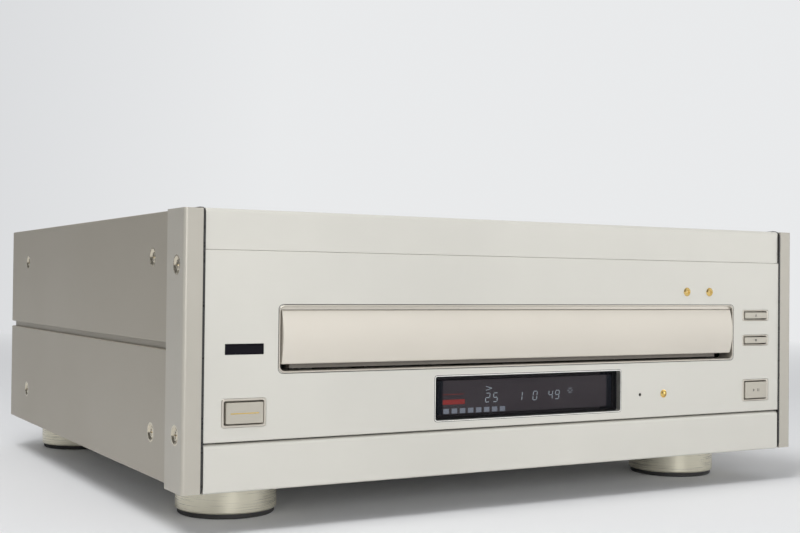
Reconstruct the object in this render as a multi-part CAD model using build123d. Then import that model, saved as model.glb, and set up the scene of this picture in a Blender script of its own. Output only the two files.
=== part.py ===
from build123d import *
import math
import os

# Laserdisc player, millimetres. X to the right, Y to the back, Z up.
# The origin is on the surface it stands on, under the middle of the machine.

# ---------------------------------------------------------------- driving sizes
# outside
key_field = 43.4         # front panel on each side of the tray opening
plate_t = 1.35           # black edge plates beside the front panel
post_w = 10.75           # corner posts, across the front
post_d = 26.5            # corner posts, front to back
post_round = 2.0         # their outer front corner
body_d = 424.0           # front panel face to rear panel face
front_proud = 1.6        # what stands furthest out of the front face
jack_proud = 9.0         # phono shells, the furthest out of the rear panel
door_z0 = 22.5           # lower edge of the folding door
door_z1 = 48.9           # its upper edge
panel_z0 = 49.7          # lower edge of the main panel
panel_z1 = 153.6         # its upper edge
band_gap = 0.15          # parting line between the panel and the top band
band_z1 = 176.0          # upper edge of the band
band_set_back = 0.6      # the band's face lies this far behind the panel's
panel_t = 4.0            # thickness of the front panel and of the band
edge_round = 2.2         # long rounded edges of the front pieces
plate_z0 = 22.0          # edge plates, lowest
plate_z1 = 176.6         # edge plates, highest
plate_round = 5.5        # their front corners
post_z0 = 22.9           # corner posts, lowest
post_z1 = 175.7          # corner posts, highest
side_t = 9.0             # side panels
side_z0 = 25.7           # side panels, lowest
side_z1 = 174.9          # side panels, highest
side_short = 16.0        # side panels end this far before the rear panel
groove_z = 98.7          # lower edge of the groove along a side panel
groove_h = 3.9           # its height
groove_d = 3.0           # its depth
sheet = 1.2              # folded steel sheet
cover_z1 = 175.2         # upper face of the top cover
pan_z0 = 25.0            # under face of the chassis pan
pan_wall = 26.0          # height of the pan's folded walls
seat_gap = 0.3           # clearance between pieces that only meet loosely

# feet
foot_r = 30.0
foot_x = 175.0           # each side of the middle
foot_front = 66.2        # behind the front face
foot_rear = 34.7         # before the rear panel
rubber_r = 28.7
rubber_h = 3.0
rubber_wall = 6.0
foot_core_z = 1.2        # the foot's core stays this far off the floor

# tray opening and tray
mouth_gap = 2.3          # between the tray front's ends and the opening
mouth_z0 = 86.1          # opening in the front panel
mouth_z1 = 124.0
mouth_round = 4.2
trim_wall = 1.0          # lining of the opening
reveal = 0.15            # fine gap left round the lining and the bezels
head_set_back = 1.6      # stepped head of the lining, behind its lip
front_over = 2.3         # the tray front is this much wider than the tray, each end
front_z0 = 91.0          # tray front
front_z1 = 120.9
front_crown = 2.4        # how far the tray front bulges between its edges
front_edge = 1.0         # its edges lie this far behind the panel's face
front_t = 6.0
tray_wall = 14.8         # tray beside the large disc well
tray_z0 = 92.0
tray_z1 = 104.4
tray_floor = 99.6        # floor of the large disc well
tray_y0 = 7.0            # plate of the tray, behind the front face
tray_rim = 5.8           # tray behind the large disc well
arm_short = 28.0         # its two rear arms end this far before the rear panel
arm_w = 24.0
tongue = 2.4             # side tongues that run in the guides
tongue_h = 3.2
tongue_z0 = 96.0
run = 0.3                # running clearance of sliding pieces
well_r = 152.2           # large disc well
well_mid_r = 101.5       # middle disc well
well_small_r = 60.8      # small disc well
well_step = 1.6          # each smaller well is this much deeper
slot_half = 43.0         # cut-out for the turntable and the pickup
tray_travel = 318.0

# disc and turntable
disc_y = 178.0           # spindle axis, behind the front face
disc_t = 2.7
spin_r = 30.0            # turntable and clamper
seat_z = 92.0            # turntable's seat when lowered
hub_r = 17.3
hub_h = 5.5
press_r = 24.0           # inside of the clamper's pressure ring
shaft_r = 2.5
lift = 11.0
clamp_z = 109.2          # under face of the raised clamper
clamp_drop = 3.5
shaft_fit = 0.05         # radial clearance of running fits

# pickup carriage and its turning guides
turn_short = 79.0        # centre of the half-round run, before the rear panel
turn_z = 104.3
slot_r = 28.3            # guide slot, centre line
slot_w = 6.4
rack_r = 40.0            # rack's pitch line
guide_in = 34.0          # inner face of a guide plate, from the middle
guide_t = 3.0
guide_from = 34.0        # the guides start this far behind the spindle
guide_end = 4.0          # wall left at the end of a slot
disc_gap = 30.0          # height left between the two legs of a guide
pin_gear_teeth = 16
gear_module = 1.0
carriage_before = 17.0   # carriage's middle at rest, before the turn's centre
carriage_l = 40.0
carriage_travel = 94.0
roller_r = 3.0
lens_z = 97.6

# loading drive
rack_module = 1.5
rack_in = 19.0           # pitch line of the tray's rack, in from the tray's side
rack_z0 = 88.2
pinion_teeth = 16
wheel_teeth = 36
idler_teeth = 16
drive_y = 62.0           # tray gear's axis, behind the front face
pulley_r = 15.0
motor_pulley_r = 6.0
belt_t = 1.4
motor_r = 12.0
pulley_z0 = 72.6
pulley_h = 5.0
wheel_z0 = 79.0
wheel_h = 4.0

# folding door and what lies behind it
door_t = 4.5
hinge_y = 7.5            # door's axis, behind the front face
hinge_z = 27.2
hinge_pin_r = 1.6
strip_y = 9.6            # face of the control strip
strip_t = 3.0
small_key_w = 13.0
small_key_h = 5.0
small_key_pitch = 24.0
small_key_x0 = -44.0
small_key_count = 4
small_key_z = 37.0
key_travel = 1.0
knob_r = 6.5
knob_pitch = 38.0        # from the level knob to the headphone socket
phone_in = 49.0          # headphone socket, from the panel's end
phone_hole = 3.25

# keys and windows on the front panel: how far in from the panel's end, height, size
power_in = 23.3
power_z = 65.3
power_size = (26.0, 15.6)
power_cap = (21.6, 11.4)
thin_in = 22.4
open_z = 116.7
stop_z = 99.4
thin_size = (25.2, 7.4)
thin_cap = (20.6, 4.2)
play_in = 22.1
play_z = 64.6
play_size = (25.4, 15.0)
play_cap = (20.0, 11.3)
bezel_round = 1.5
cap_gap = 0.8            # round a key in its bezel
strip_key_gap = 0.35     # round a small key in the control strip
cap_rim = (3.0, 2.4)     # a key's retaining flange is this much larger than its cap
cap_rim_t = 1.1
rim_room = 0.6           # round the flange when the key is pressed
lens_key_at = (108.3, 65.0)
lens_key_r = 2.0
dot_at = (88.0, 65.0)
dot_r = 1.1
lamp_x = (128.6, 149.0)
lamp_at_z = 132.8
lamp_r = 2.1
display_at = (0.8, 68.2)
display_size = (141.2, 26.2)
display_round = 1.6
display_t = 2.0
sensor_in = 23.2
sensor_z = 99.8
sensor_size = (22.8, 6.0)
key_board_y = 17.0       # face of the board that carries the switches
board_t = 1.6
switch = 6.0             # a key's switch, square
switch_t = 2.2

# rear connections: x from the middle, z
audio_x = (-150.0, -132.0)
audio_z = (92.0, 72.0)
video_x = (-100.0, -82.0)
phono_r = 4.15
phono_hole = 1.7
s_jack_x = -58.0
s_jack_r = 5.4
digital_x = -22.0
control_x = 6.0
inlet_at = (160.0, 62.0)
inlet_size = (27.5, 19.5)
main_board_z = 34.0      # under face of the boards on the pan
vent_pitch = 6.0
vent_count = 14

# screws of the sides: behind the front face, heights, and their cup washers
cup_seat_r = 4.3
cup_r = 5.6
cup_rim = 0.8
screw_front_y = 51.0
screw_rear_y = 354.0
screw_high = 149.7
screw_low = 50.9
post_screw_y = 10.8
post_screw_high = 145.1
post_screw_low = 53.6

# ---------------------------------------------------------------- worked out
box_d = front_proud + body_d + jack_proud
face = -box_d / 2 + front_proud          # Y of the front panel's face
rear = face + body_d                     # Y of the rear panel's outer face
tray_w = 2 * (well_r + tray_wall)
front_w = tray_w + 2 * front_over
mouth_w = front_w + 2 * mouth_gap
mouth_mid = (0, (mouth_z0 + mouth_z1) / 2)
half = mouth_w / 2 + key_field           # half the front panel's width
band_z0 = panel_z1 + band_gap
post_x = half + plate_t                  # inner face of a corner post
outer_x = post_x + post_w                # outside of posts and side panels
side_x = outer_x - side_t                # inner face of a side panel
wall_x = side_x - seat_gap               # outside of the pan's and cover's walls
pan_y0 = face + 16.0
spin_y = face + disc_y
tray_y1 = disc_y + well_r + tray_rim
arm_y1 = body_d - arm_short
turn_y = body_d - turn_short
guide_y0 = disc_y + guide_from
carriage_y = turn_y - carriage_before
rack_x = rack_in - tray_w / 2
pin_gear_r = gear_module * pin_gear_teeth / 2
pinion_r = rack_module * pinion_teeth / 2
wheel_r = gear_module * wheel_teeth / 2
idler_r = gear_module * idler_teeth / 2
gear_x = rack_x + pinion_r
gear_y = face + drive_y
idler_x = gear_x + wheel_r + idler_r
motor_x = idler_x + 44.0
guide_out = guide_in + guide_t
rail_x = tray_w / 2 + run                # inner face of a tray rail
rail_t = 8.0
rail_z0 = 60.0
rail_z1 = 118.0
rail_y0 = face + 22.0
rail_y1 = rear - 22.0
base_z0 = 58.0
base_t = 2.0
turn_yy = face + turn_y
cover_z0 = cover_z1 - sheet
rear_z0 = pan_z0 + sheet
carriage_yy = face + carriage_y
phone_x = half - phone_in
knob_x = phone_x - knob_pitch
power_at = (power_in - half, power_z)
open_at = (half - thin_in, open_z)
stop_at = (half - thin_in, stop_z)
play_at = (half - play_in, play_z)
sensor_at = (sensor_in - half, sensor_z)
flange_y = face + panel_t + 1.0 + seat_gap               # front of a key's flange
stem_y = face + key_board_y - switch_t - key_travel - 0.2  # end of a key's stem
strip_board_y = face + strip_y + strip_t + 3.2 + key_travel + switch_t
board_posts = (
    (11.0 - half, 80.0), (36.0 - half, 80.0), (-78.0, 56.0), (80.0, 56.0), (116.0, 56.0),
    (half - 36.5, 60.0), (half - 12.0, 84.0), (116.0, 133.5), (161.0, 133.5))


# ---------------------------------------------------------------- helpers
def block(x0, x1, y0, y1, z0, z1):
    """A box between its lowest and highest corners."""
    return Pos((x0 + x1) / 2, (y0 + y1) / 2, (z0 + z1) / 2) * Box(x1 - x0, y1 - y0, z1 - z0)


def rod_x(y, z, r, x0, x1):
    return Pos((x0 + x1) / 2, y, z) * Rot(0, 90, 0) * Cylinder(r, x1 - x0)


def rod_y(x, z, r, y0, y1):
    return Pos(x, (y0 + y1) / 2, z) * Rot(90, 0, 0) * Cylinder(r, y1 - y0)


def rod_z(x, y, r, z0, z1):
    return Pos(x, y, (z0 + z1) / 2) * Cylinder(r, z1 - z0)


def plate_y(sketch, y0, y1):
    """Extrude a sketch drawn in X and Z between two depths."""
    return extrude(Plane(origin=(0, y1, 0), x_dir=(1, 0, 0), z_dir=(0, -1, 0)) * sketch, y1 - y0)


def slab_y(at, size, radius, y0, y1):
    """A round-cornered plate that faces the front."""
    return plate_y(Pos(at[0], at[1]) * RectangleRounded(size[0], size[1], radius), y0, y1)


def profile_x(points, x0, x1):
    """Extrude an outline drawn in Y and Z along X."""
    return extrude(Plane.YZ.offset(x0) * make_face(Polyline(*points, close=True)), x1 - x0)


def turned(points, x, y):
    """Revolve an outline of radius and height about an upright axis."""
    outline = make_face(Plane.XZ * Polyline(*points, close=True))
    return Pos(x, y, 0) * revolve(outline, Axis.Z)


def turned_x(points, y, z, side):
    """Revolve an outline of radius and distance about an axis along X, pointing to one side."""
    body = revolve(make_face(Plane.XZ * Polyline(*points, close=True)), Axis.Z)
    return Pos(0, y, z) * Rot(0, 90 * side, 0) * body


def turned_y(points, x, z):
    """Revolve an outline of radius and distance about an axis along Y, pointing back."""
    body = revolve(make_face(Plane.XZ * Polyline(*points, close=True)), Axis.Z)
    return Pos(x, 0, z) * Rot(-90, 0, 0) * body


def gear_face(teeth, module, bore, phase=0.0):
    """A spur gear's outline: straight-flanked teeth on a root circle."""
    pitch = module * teeth / 2
    tip = pitch + 0.9 * module
    root = pitch - 1.15 * module
    step = 2 * math.pi / teeth
    points = []
    for i in range(teeth):
        middle = phase + i * step
        for share, radius in ((-0.36, root), (-0.13, tip), (0.13, tip), (0.36, root)):
            angle = middle + share * step
            points.append((radius * math.cos(angle), radius * math.sin(angle)))
    face_ = make_face(Polyline(*points, close=True))
    return face_ - Circle(bore)


def through_panel(at, size, radius):
    """A round-cornered cut through the front panel."""
    return slab_y(at, size, radius, face - 1, face + panel_t + 1)


def hole_through_panel(x, z, r):
    return rod_y(x, z, r, face - 1, face + panel_t + 1)


def grown(size, by):
    return (size[0] + by, size[1] + by)


def mirrored(shape):
    return mirror(shape, Plane.YZ)


def save(name, shape):
    export_step(shape, "parts/" + name + ".step")


# ---------------------------------------------------------------- front pieces
def front_panel():
    """Main panel with its rounded upper and lower edges and all its cut-outs."""
    y0 = face
    panel = block(-half, half, y0, y0 + panel_t, panel_z0, panel_z1)
    long_edges = panel.edges().filter_by(Axis.X).group_by(Axis.Y)[0]
    panel = fillet(long_edges, 0.8)
    round_bezel = bezel_round + reveal
    cuts = [
        through_panel(mouth_mid, grown((mouth_w, mouth_z1 - mouth_z0), 2 * reveal), mouth_round + reveal),
        through_panel(power_at, grown(power_size, 2 * reveal), round_bezel),
        through_panel(open_at, grown(thin_size, 2 * reveal), round_bezel),
        through_panel(stop_at, grown(thin_size, 2 * reveal), round_bezel),
        through_panel(play_at, grown(play_size, 2 * reveal), round_bezel),
        through_panel(display_at, display_size, display_round),
        through_panel(sensor_at, sensor_size, 0.4),
        hole_through_panel(lens_key_at[0], lens_key_at[1], lens_key_r + 0.7),
        hole_through_panel(dot_at[0], dot_at[1], dot_r),
    ]
    for x in lamp_x:
        cuts.append(hole_through_panel(x, lamp_at_z, lamp_r + 0.8))
    return panel - cuts


def top_band():
    """The band above the panel, with a broad rounded upper edge and a lip over the cover."""
    y0 = face + band_set_back
    lip = 9.0
    outline = [
        (y0, band_z0),
        (y0 + panel_t, band_z0),
        (y0 + panel_t, band_z1 - 3.2),
        (y0 + lip, band_z1 - 3.2),
        (y0 + lip, band_z1),
        (y0, band_z1),
    ]
    band = profile_x(outline, -half + 0.4, half - 0.4)
    top_front = band.edges().filter_by(Axis.X).group_by(Axis.Y)[0].sort_by(Axis.Z)[-1]
    return fillet(top_front, edge_round)


def edge_plate(side):
    """Thin black plate between the front panel and a corner post."""
    y0 = face - 0.5
    y1 = face + post_d
    plate = block(half, half + plate_t, y0, y1, plate_z0, plate_z1)
    corners = plate.edges().filter_by(Axis.X).group_by(Axis.Y)[0]
    plate = fillet(corners, plate_round)
    return plate if side > 0 else mirrored(plate)


def corner_post(side):
    """Upright extrusion at a front corner, hollow towards the machine."""
    y0 = face - 0.4
    outer = Pos((post_x + outer_x) / 2, (y0 + face + post_d) / 2) * Rectangle(post_w, face + post_d - y0)
    front_outer = outer.vertices().group_by(Axis.Y)[0].sort_by(Axis.X)[-1]
    outer = fillet(front_outer, post_round)
    pocket = Pos(post_x + 1.8, face + post_d - 6.5) * Rectangle(5.0, 14.0)
    post = extrude(Plane.XY.offset(post_z0) * (outer - pocket), post_z1 - post_z0)
    for z in screw_heights("post"):
        post -= cup_seat(face + post_screw_y, z)
    return post if side > 0 else mirrored(post)


def tray_trim():
    """Lining of the tray opening: a thin lip, and a stepped head that closes over the tray front."""
    mouth_h = mouth_z1 - mouth_z0
    inner_w = mouth_w - 2 * trim_wall
    outer = slab_y(mouth_mid, (mouth_w, mouth_h), mouth_round, face - 0.2, face + 12)
    inner_size = (inner_w, mouth_h - 2 * trim_wall)
    inner = slab_y(mouth_mid, inner_size, mouth_round - trim_wall, face - 1, face + 13)
    flange = slab_y(mouth_mid, (mouth_w + 8, mouth_h + 8), mouth_round, face + panel_t, face + panel_t + 1.6)
    trim = outer + flange - inner
    trim = chamfer(trim.edges().group_by(Axis.Y)[0], 0.3)
    head_z1 = mouth_z1 - trim_wall
    head = block(-inner_w / 2, inner_w / 2, face + head_set_back, face + 12, front_z1 + run, head_z1)
    return trim + head


def bezel(at, size, cap, lip=0.0):
    """Frame round a key: a ring in the panel's cut-out with a flange behind."""
    y0 = face - lip
    ring = slab_y(at, size, bezel_round, y0, face + panel_t)
    flange = slab_y(at, (size[0] + 4, size[1] + 3), bezel_round, face + panel_t, face + panel_t + 1.0)
    hole = slab_y(at, grown(cap, 2 * cap_gap), 0.9, y0 - 1, face + panel_t + 2)
    body = ring + flange - hole
    outer_edges = body.edges().group_by(Axis.Y)[0]
    return chamfer(outer_edges, 0.25)


def key_cap(at, cap, proud, dish=0.0):
    """A push key: rounded cap, retaining flange and a stem to its switch."""
    y0 = face - proud
    body = slab_y(at, cap, 0.6, y0, flange_y)
    body = fillet(body.edges().group_by(Axis.Y)[0], 0.35)
    flange = slab_y(at, (cap[0] + cap_rim[0], cap[1] + cap_rim[1]), 0.6, flange_y, flange_y + cap_rim_t)
    stem = rod_y(at[0], at[1], 1.6, flange_y + cap_rim_t - 0.2, stem_y)
    body = body + flange + stem
    if dish:
        body -= slab_y((at[0], at[1] - 0.2), (cap[0] - 4, 0.7), 0.3, y0 - 1, y0 + dish)
    return body


def lens_key():
    """Small round push key with a domed face."""
    y0 = face - 0.9
    rim = lens_key_r + 1.6
    y1 = face + panel_t + 0.4
    y2 = y1 + 1.2
    cap = [(0, y0), (lens_key_r * 0.6, y0 + 0.15), (lens_key_r, y0 + 0.9), (lens_key_r, y1), (rim, y1),
           (rim, y2), (1.2, y2), (1.2, stem_y), (0, stem_y)]
    return turned_y(cap, lens_key_at[0], lens_key_at[1])


def lamps():
    """Two indicator lamps: a lens inside a turned ring, set through the panel."""
    rings = []
    lenses = []
    for x in lamp_x:
        ring = [(lamp_r - 0.9, face - 0.5), (lamp_r + 0.2, face - 0.9), (lamp_r + 0.8, face - 0.3),
                (lamp_r + 0.8, face + panel_t + 1), (lamp_r - 0.9, face + panel_t + 1)]
        rings.append(turned_y(ring, x, lamp_at_z))
        lens = [(0, face - 0.3), (lamp_r - 0.9, face + 0.1), (lamp_r - 0.9, face + key_board_y),
                (0, face + key_board_y)]
        lenses.append(turned_y(lens, x, lamp_at_z))
    collar = [(lens_key_r + 0.08, face - 0.25), (lens_key_r + 0.7, face - 0.1),
              (lens_key_r + 0.7, face + panel_t), (lens_key_r + 0.08, face + panel_t)]
    rings.append(turned_y(collar, lens_key_at[0], lens_key_at[1]))
    lenses.append(rod_y(dot_at[0], dot_at[1], dot_r, face + 0.4, face + key_board_y))
    return Compound(children=rings), Compound(children=lenses)


def display_window():
    """Smoked window with a shallow raised rim."""
    rim = slab_y(display_at, display_size, display_round, face - 0.1, face + panel_t)
    hollow = slab_y(display_at, grown(display_size, -3.0), 0.8, face - 1, face + 0.8)
    deep = slab_y(display_at, grown(display_size, -5.0), 0.8, face + 0.8 + display_t, face + 9)
    return rim - hollow - deep


def display_module():
    """Fluorescent display tube with its sealed nipple, on the key board."""
    x, z = display_at
    glass_size = (display_size[0] - 8.0, display_size[1] - 6.0)
    holder_size = (display_size[0] + 6.0, display_size[1] + 4.0)
    glass = slab_y(display_at, glass_size, 0.6, face + 4.6, face + 11.4)
    holder = slab_y(display_at, holder_size, 1.0, face + 11.4, face + key_board_y)
    seal = [(0, face + 7), (1.6, face + 7), (1.2, face + 11), (0, face + 13)]
    nipple = turned_y(seal, x + display_size[0] / 2 - 4.8, z)
    return glass + holder + nipple


def sensor_window():
    window = slab_y(sensor_at, sensor_size, 0.4, face + 0.3, face + panel_t)
    flange = slab_y(sensor_at, grown(sensor_size, 4.0), 0.6, face + panel_t, face + panel_t + 1.4)
    receiver = block(sensor_at[0] - 5, sensor_at[0] + 5, face + panel_t + 1.4, face + key_board_y,
                     sensor_at[1] - 3, sensor_at[1] + 3)
    return window + flange + receiver


def front_frame():
    """Moulded frame behind the panel that carries the boards, the trim and the door's hinges."""
    y0 = face + panel_t + 2.8
    y1 = y0 + 2.2
    top = band_z1 - 5.5
    frame = block(-half + 1, half - 1, y0, y1, panel_z0, top)
    for x0, x1 in ((-half + 1, -half + 4), (half - 4, half - 1)):
        frame += block(x0, x1, face + panel_t + band_set_back, face + post_d, panel_z0, top)
        frame += block(x0, x1, face + 14.5, face + post_d, pan_z0 + sheet, panel_z0 + 1)
        frame += rod_x(face + hinge_y, hinge_z, 2.6, x0, x1)
        frame += block(x0, x1, face + hinge_y, face + 15, hinge_z - 2.0, hinge_z + 2.6)
    frame += block(-half + 4, half - 4, face + panel_t, y0, panel_z1 - 6, panel_z1 - 3)
    frame += block(-half + 4, half - 4, face + panel_t + 1, pan_y0 + 2, panel_z0, panel_z0 + 2)
    for x, z in board_posts:
        frame += rod_y(x, z, 2.0, y1 - 0.5, face + key_board_y)
    cuts = [
        slab_y(mouth_mid, grown((mouth_w, mouth_z1 - mouth_z0), 2 * reveal), mouth_round, face, y1 + 20),
        slab_y(display_at, grown(display_size, -2.0), 1.0, face, y1 + 1),
        slab_y(sensor_at, (sensor_size[0] - 6, sensor_size[1] + 3), 0.6, face, y1 + 1),
        key_window(power_at, power_cap, y1),
        key_window(open_at, thin_cap, y1),
        key_window(stop_at, thin_cap, y1),
        key_window(play_at, play_cap, y1),
        rod_y(lens_key_at[0], lens_key_at[1], 1.8, face, y1 + 1),
        rod_y(dot_at[0], dot_at[1], dot_r + 0.3, face, y1 + 1),
    ]
    for x in lamp_x:
        cuts.append(rod_y(x, lamp_at_z, lamp_r, face, y1 + 1))
    return frame - cuts


def key_window(at, cap, y1):
    """Room in the front frame for a pressed key's flange."""
    size = (cap[0] + cap_rim[0] + 2 * rim_room, cap[1] + cap_rim[1] + 2 * rim_room)
    return slab_y(at, size, 1.0, face, y1 + 1)


def switch_at(x, z, y0):
    return block(x - switch / 2, x + switch / 2, y0 - switch_t, y0, z - switch / 2, z + switch / 2)


def key_boards():
    """The boards behind the keys, each key with its own switch."""
    y0 = face + key_board_y
    boards = []
    left = block(-half + 8, -half + 39, y0, y0 + board_t, 53, 108)
    left += switch_at(power_at[0], power_at[1], y0)
    boards.append(left)
    middle = block(-80, 118, y0, y0 + board_t, 52, 84)
    middle += switch_at(lens_key_at[0], lens_key_at[1], y0)
    boards.append(middle)
    right = block(half - 40, half - 8, y0, y0 + board_t, 54, 122)
    for at in (open_at, stop_at, play_at):
        right += switch_at(at[0], at[1], y0)
    boards.append(right)
    lamp = block(112, 165, y0, y0 + board_t, 127, 140)
    boards.append(lamp)
    boards.append(strip_board())
    return Compound(children=boards)


# ---------------------------------------------------------------- door and strip
def door():
    """Folding door: a leaf with rounded outer edges, two hinge brackets and a catch on its back."""
    y0 = face
    y1 = face + door_t
    outline = [(y0, door_z0), (y1, door_z0), (y1, door_z1), (y0, door_z1)]
    leaf = profile_x(outline, -half + 0.4, half - 0.4)
    front_edges = leaf.edges().filter_by(Axis.X).group_by(Axis.Y)[0].sort_by(Axis.Z)
    leaf = fillet(front_edges[-1], edge_round)
    front_edges = leaf.edges().filter_by(Axis.X).group_by(Axis.Y)[0].sort_by(Axis.Z)
    leaf = fillet(front_edges[0], 1.2)
    pieces = [leaf]
    hy = face + hinge_y
    for x0 in (-half + 6.0, half - 9.0):
        ear = block(x0, x0 + 3.0, y1, hy, hinge_z - 2.6, hinge_z + 6)
        ear += rod_x(hy, hinge_z, 2.6, x0, x0 + 3.0)
        ear -= rod_x(hy, hinge_z, hinge_pin_r + shaft_fit, x0 - 1, x0 + 4)
        pieces.append(ear)
    pieces.append(block(-4, 4, y1, y1 + 2.4, door_z1 - 5.0, door_z1 - 3.0))
    return Compound(children=pieces)


def hinge_pins():
    hy = face + hinge_y
    pins = []
    for side in (-1, 1):
        x0, x1 = sorted((side * (half - 4), side * (half - 10.5)))
        pins.append(rod_x(hy, hinge_z, hinge_pin_r, x0, x1))
    return Compound(children=pins)


def control_strip():
    """Moulded strip behind the door, with the holes for its keys, knob and socket."""
    y0 = face + strip_y
    y1 = y0 + strip_t
    strip = block(-half + 12, half - 12, y0, y1, 29.5, panel_z0)
    strip += block(-half + 12, half - 12, y1 - 1, pan_y0 + 3, 28.0, 30.5)
    for x in (-half + 18, 0, half - 24):
        strip += block(x, x + 6, pan_y0, pan_y0 + 3, pan_z0 + sheet, 28.5)
    for x in small_key_xs():
        hole_size = grown((small_key_w, small_key_h), 2 * strip_key_gap)
        strip -= slab_y((x, small_key_z), hole_size, 0.8, y0 - 1, y1 + 1)
    strip -= rod_y(knob_x, small_key_z, knob_r + 0.4, y0 - 1, y1 - 1.2)
    strip -= rod_y(knob_x, small_key_z, 3.2, y0 - 1, y1 + 1)
    strip -= rod_y(phone_x, small_key_z, 5.6, y0 - 1, y1 + 1)
    return strip


def small_key_xs():
    return [small_key_x0 + i * small_key_pitch for i in range(small_key_count)]


def small_key(x):
    y0 = face + strip_y
    y1 = y0 + strip_t
    size = (small_key_w, small_key_h)
    cap = slab_y((x, small_key_z), size, 0.7, y0 - 1.6, y1 + seat_gap)
    cap = fillet(cap.edges().group_by(Axis.Y)[0], 0.5)
    cap += slab_y((x, small_key_z), grown(size, 3.0), 0.7, y1 + seat_gap, y1 + 1.4)
    return cap + rod_y(x, small_key_z, 1.4, y1 + 1.2, y1 + 3.0)


def strip_board():
    """Board behind the control strip with its switches and the knob's control."""
    y0 = strip_board_y
    board = block(-70, knob_x + 14, y0, y0 + board_t, 31.5, panel_z0 - 3)
    for x in small_key_xs():
        board += switch_at(x, small_key_z, y0)
    pot = block(knob_x - 6, knob_x + 6, face + strip_y + strip_t, y0, small_key_z - 5.5, small_key_z + 5.5)
    pot -= rod_y(knob_x, small_key_z, 3.0 + shaft_fit, y0 - 20, y0 - 1.5)
    return board + pot


def level_knob():
    """Headphone level knob: fluted skirt, shaft in its control."""
    y0 = face + strip_y
    flutes = 18
    points = []
    for i in range(flutes * 2):
        radius = knob_r if i % 2 == 0 else knob_r - 0.5
        angle = i * math.pi / flutes
        points.append((radius * math.cos(angle), radius * math.sin(angle)))
    outline = make_face(Polyline(*points, close=True))
    skirt = plate_y(Pos(knob_x, small_key_z) * outline, y0 - 2.6, y0 + strip_t - 1.4)
    shaft = rod_y(knob_x, small_key_z, 3.0, y0, strip_board_y - 1.8)
    pointer = block(knob_x - 0.4, knob_x + 0.4, y0 - 3.6, y0 - 1.8, small_key_z + 1, small_key_z + knob_r - 1)
    return skirt + shaft - pointer


def phone_socket():
    """Headphone socket: bored nose through the strip and its body behind."""
    y0 = face + strip_y
    y1 = y0 + strip_t
    outline = [(phone_hole, y0 - 0.9), (5.0, y0 - 0.9), (5.5, y0 - 0.4), (5.5, y1), (phone_hole, y1)]
    nose = turned_y(outline, phone_x, small_key_z)
    body = block(phone_x - 6.5, phone_x + 6.5, y1, y1 + 26, small_key_z - 5.8, small_key_z + 5.8)
    body -= rod_y(phone_x, small_key_z, phone_hole, y0, y1 + 22)
    return nose + body


# ---------------------------------------------------------------- housing
def screw_heights(where):
    if where == "post":
        return (post_screw_low, post_screw_high)
    return (screw_low, screw_high)


def screw_places():
    """Y and Z of the screws on one side, those of the post last."""
    places = [(face + y, z) for y in (screw_front_y, screw_rear_y) for z in screw_heights("side")]
    return places + [(face + post_screw_y, z) for z in screw_heights("post")]


def cup_seat(y, z):
    """Stepped hole for a cup washer, from the right."""
    through = rod_x(y, z, cup_seat_r, post_x - 1, outer_x + 1)
    return through + rod_x(y, z, cup_r, outer_x - cup_rim, outer_x + 1)


def side_panel(side):
    """Thick side panel with a groove along its length and seats for its cup washers."""
    y0 = face + post_d
    y1 = rear - side_short
    groove_x = outer_x - groove_d
    groove_z1 = groove_z + groove_h
    outline = make_face(Polyline(
        (side_x, side_z0), (outer_x, side_z0), (outer_x, groove_z), (groove_x, groove_z),
        (groove_x, groove_z1), (outer_x, groove_z1), (outer_x, side_z1), (side_x, side_z1), close=True))
    rim = outline.vertices().group_by(Axis.X)[-1]
    outline = fillet(rim, 0.8)
    panel = plate_y(outline, y0, y1)
    for y, z in screw_places()[:4]:
        panel -= cup_seat(y, z)
    return panel if side > 0 else mirrored(panel)


def cup_washers():
    cups = []
    for side in (-1, 1):
        for y, z in screw_places():
            cup = [(2.0, outer_x - 3.2), (cup_seat_r, outer_x - 3.2), (cup_seat_r, outer_x - cup_rim),
                   (cup_r, outer_x - cup_rim), (cup_r, outer_x), (cup_r - 0.8, outer_x), (2.0, outer_x - 2.2)]
            cups.append(turned_x(cup, y, z, side))
    return Compound(children=cups)


def side_screws():
    """Countersunk screws with a cross recess, seated in the cup washers."""
    screws = []
    for side in (-1, 1):
        for y, z in screw_places():
            depth = side_x + 0.5 if y > face + post_d else post_x + 2.0
            body = [(0, depth), (1.9, depth), (1.9, outer_x - 2.15), (3.3, outer_x - 1.1),
                    (3.0, outer_x - 0.7), (0, outer_x - 0.5)]
            screw = turned_x(body, y, z, side)
            x0, x1 = sorted((side * (outer_x - 1.6), side * (outer_x + 1)))
            screw -= block(x0, x1, y - 2.0, y + 2.0, z - 0.4, z + 0.4)
            screw -= block(x0, x1, y - 0.4, y + 0.4, z - 2.0, z + 2.0)
            screws.append(screw)
    return screws


def chassis_pan():
    """Folded steel pan: floor, four low walls, floor vents and pressed ribs."""
    y0 = pan_y0
    y1 = rear - sheet
    y_wall = face + post_d
    pan = block(-wall_x, wall_x, y_wall, y1, pan_z0, pan_z0 + pan_wall)
    pan += block(-half + 1, half - 1, y0, y_wall + 1, pan_z0, pan_z0 + sheet)
    pan -= block(-wall_x + sheet, wall_x - sheet, y_wall - 1, y1 + 1, pan_z0 + sheet, pan_z0 + pan_wall + 1)
    for i in range(vent_count):
        for x in (-70.0, 70.0):
            at = (x + (i - (vent_count - 1) / 2) * vent_pitch, face + 330.0)
            pan -= Pos(at[0], at[1], pan_z0) * extrude(Rot(0, 0, 90) * SlotOverall(40.0, 2.6), 6, both=True)
    for y in (75.0, 195.0):
        pan += block(-150, 150, face + y - 5, face + y + 5, pan_z0 + sheet, pan_z0 + sheet + 1.5)
    return pan


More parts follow.
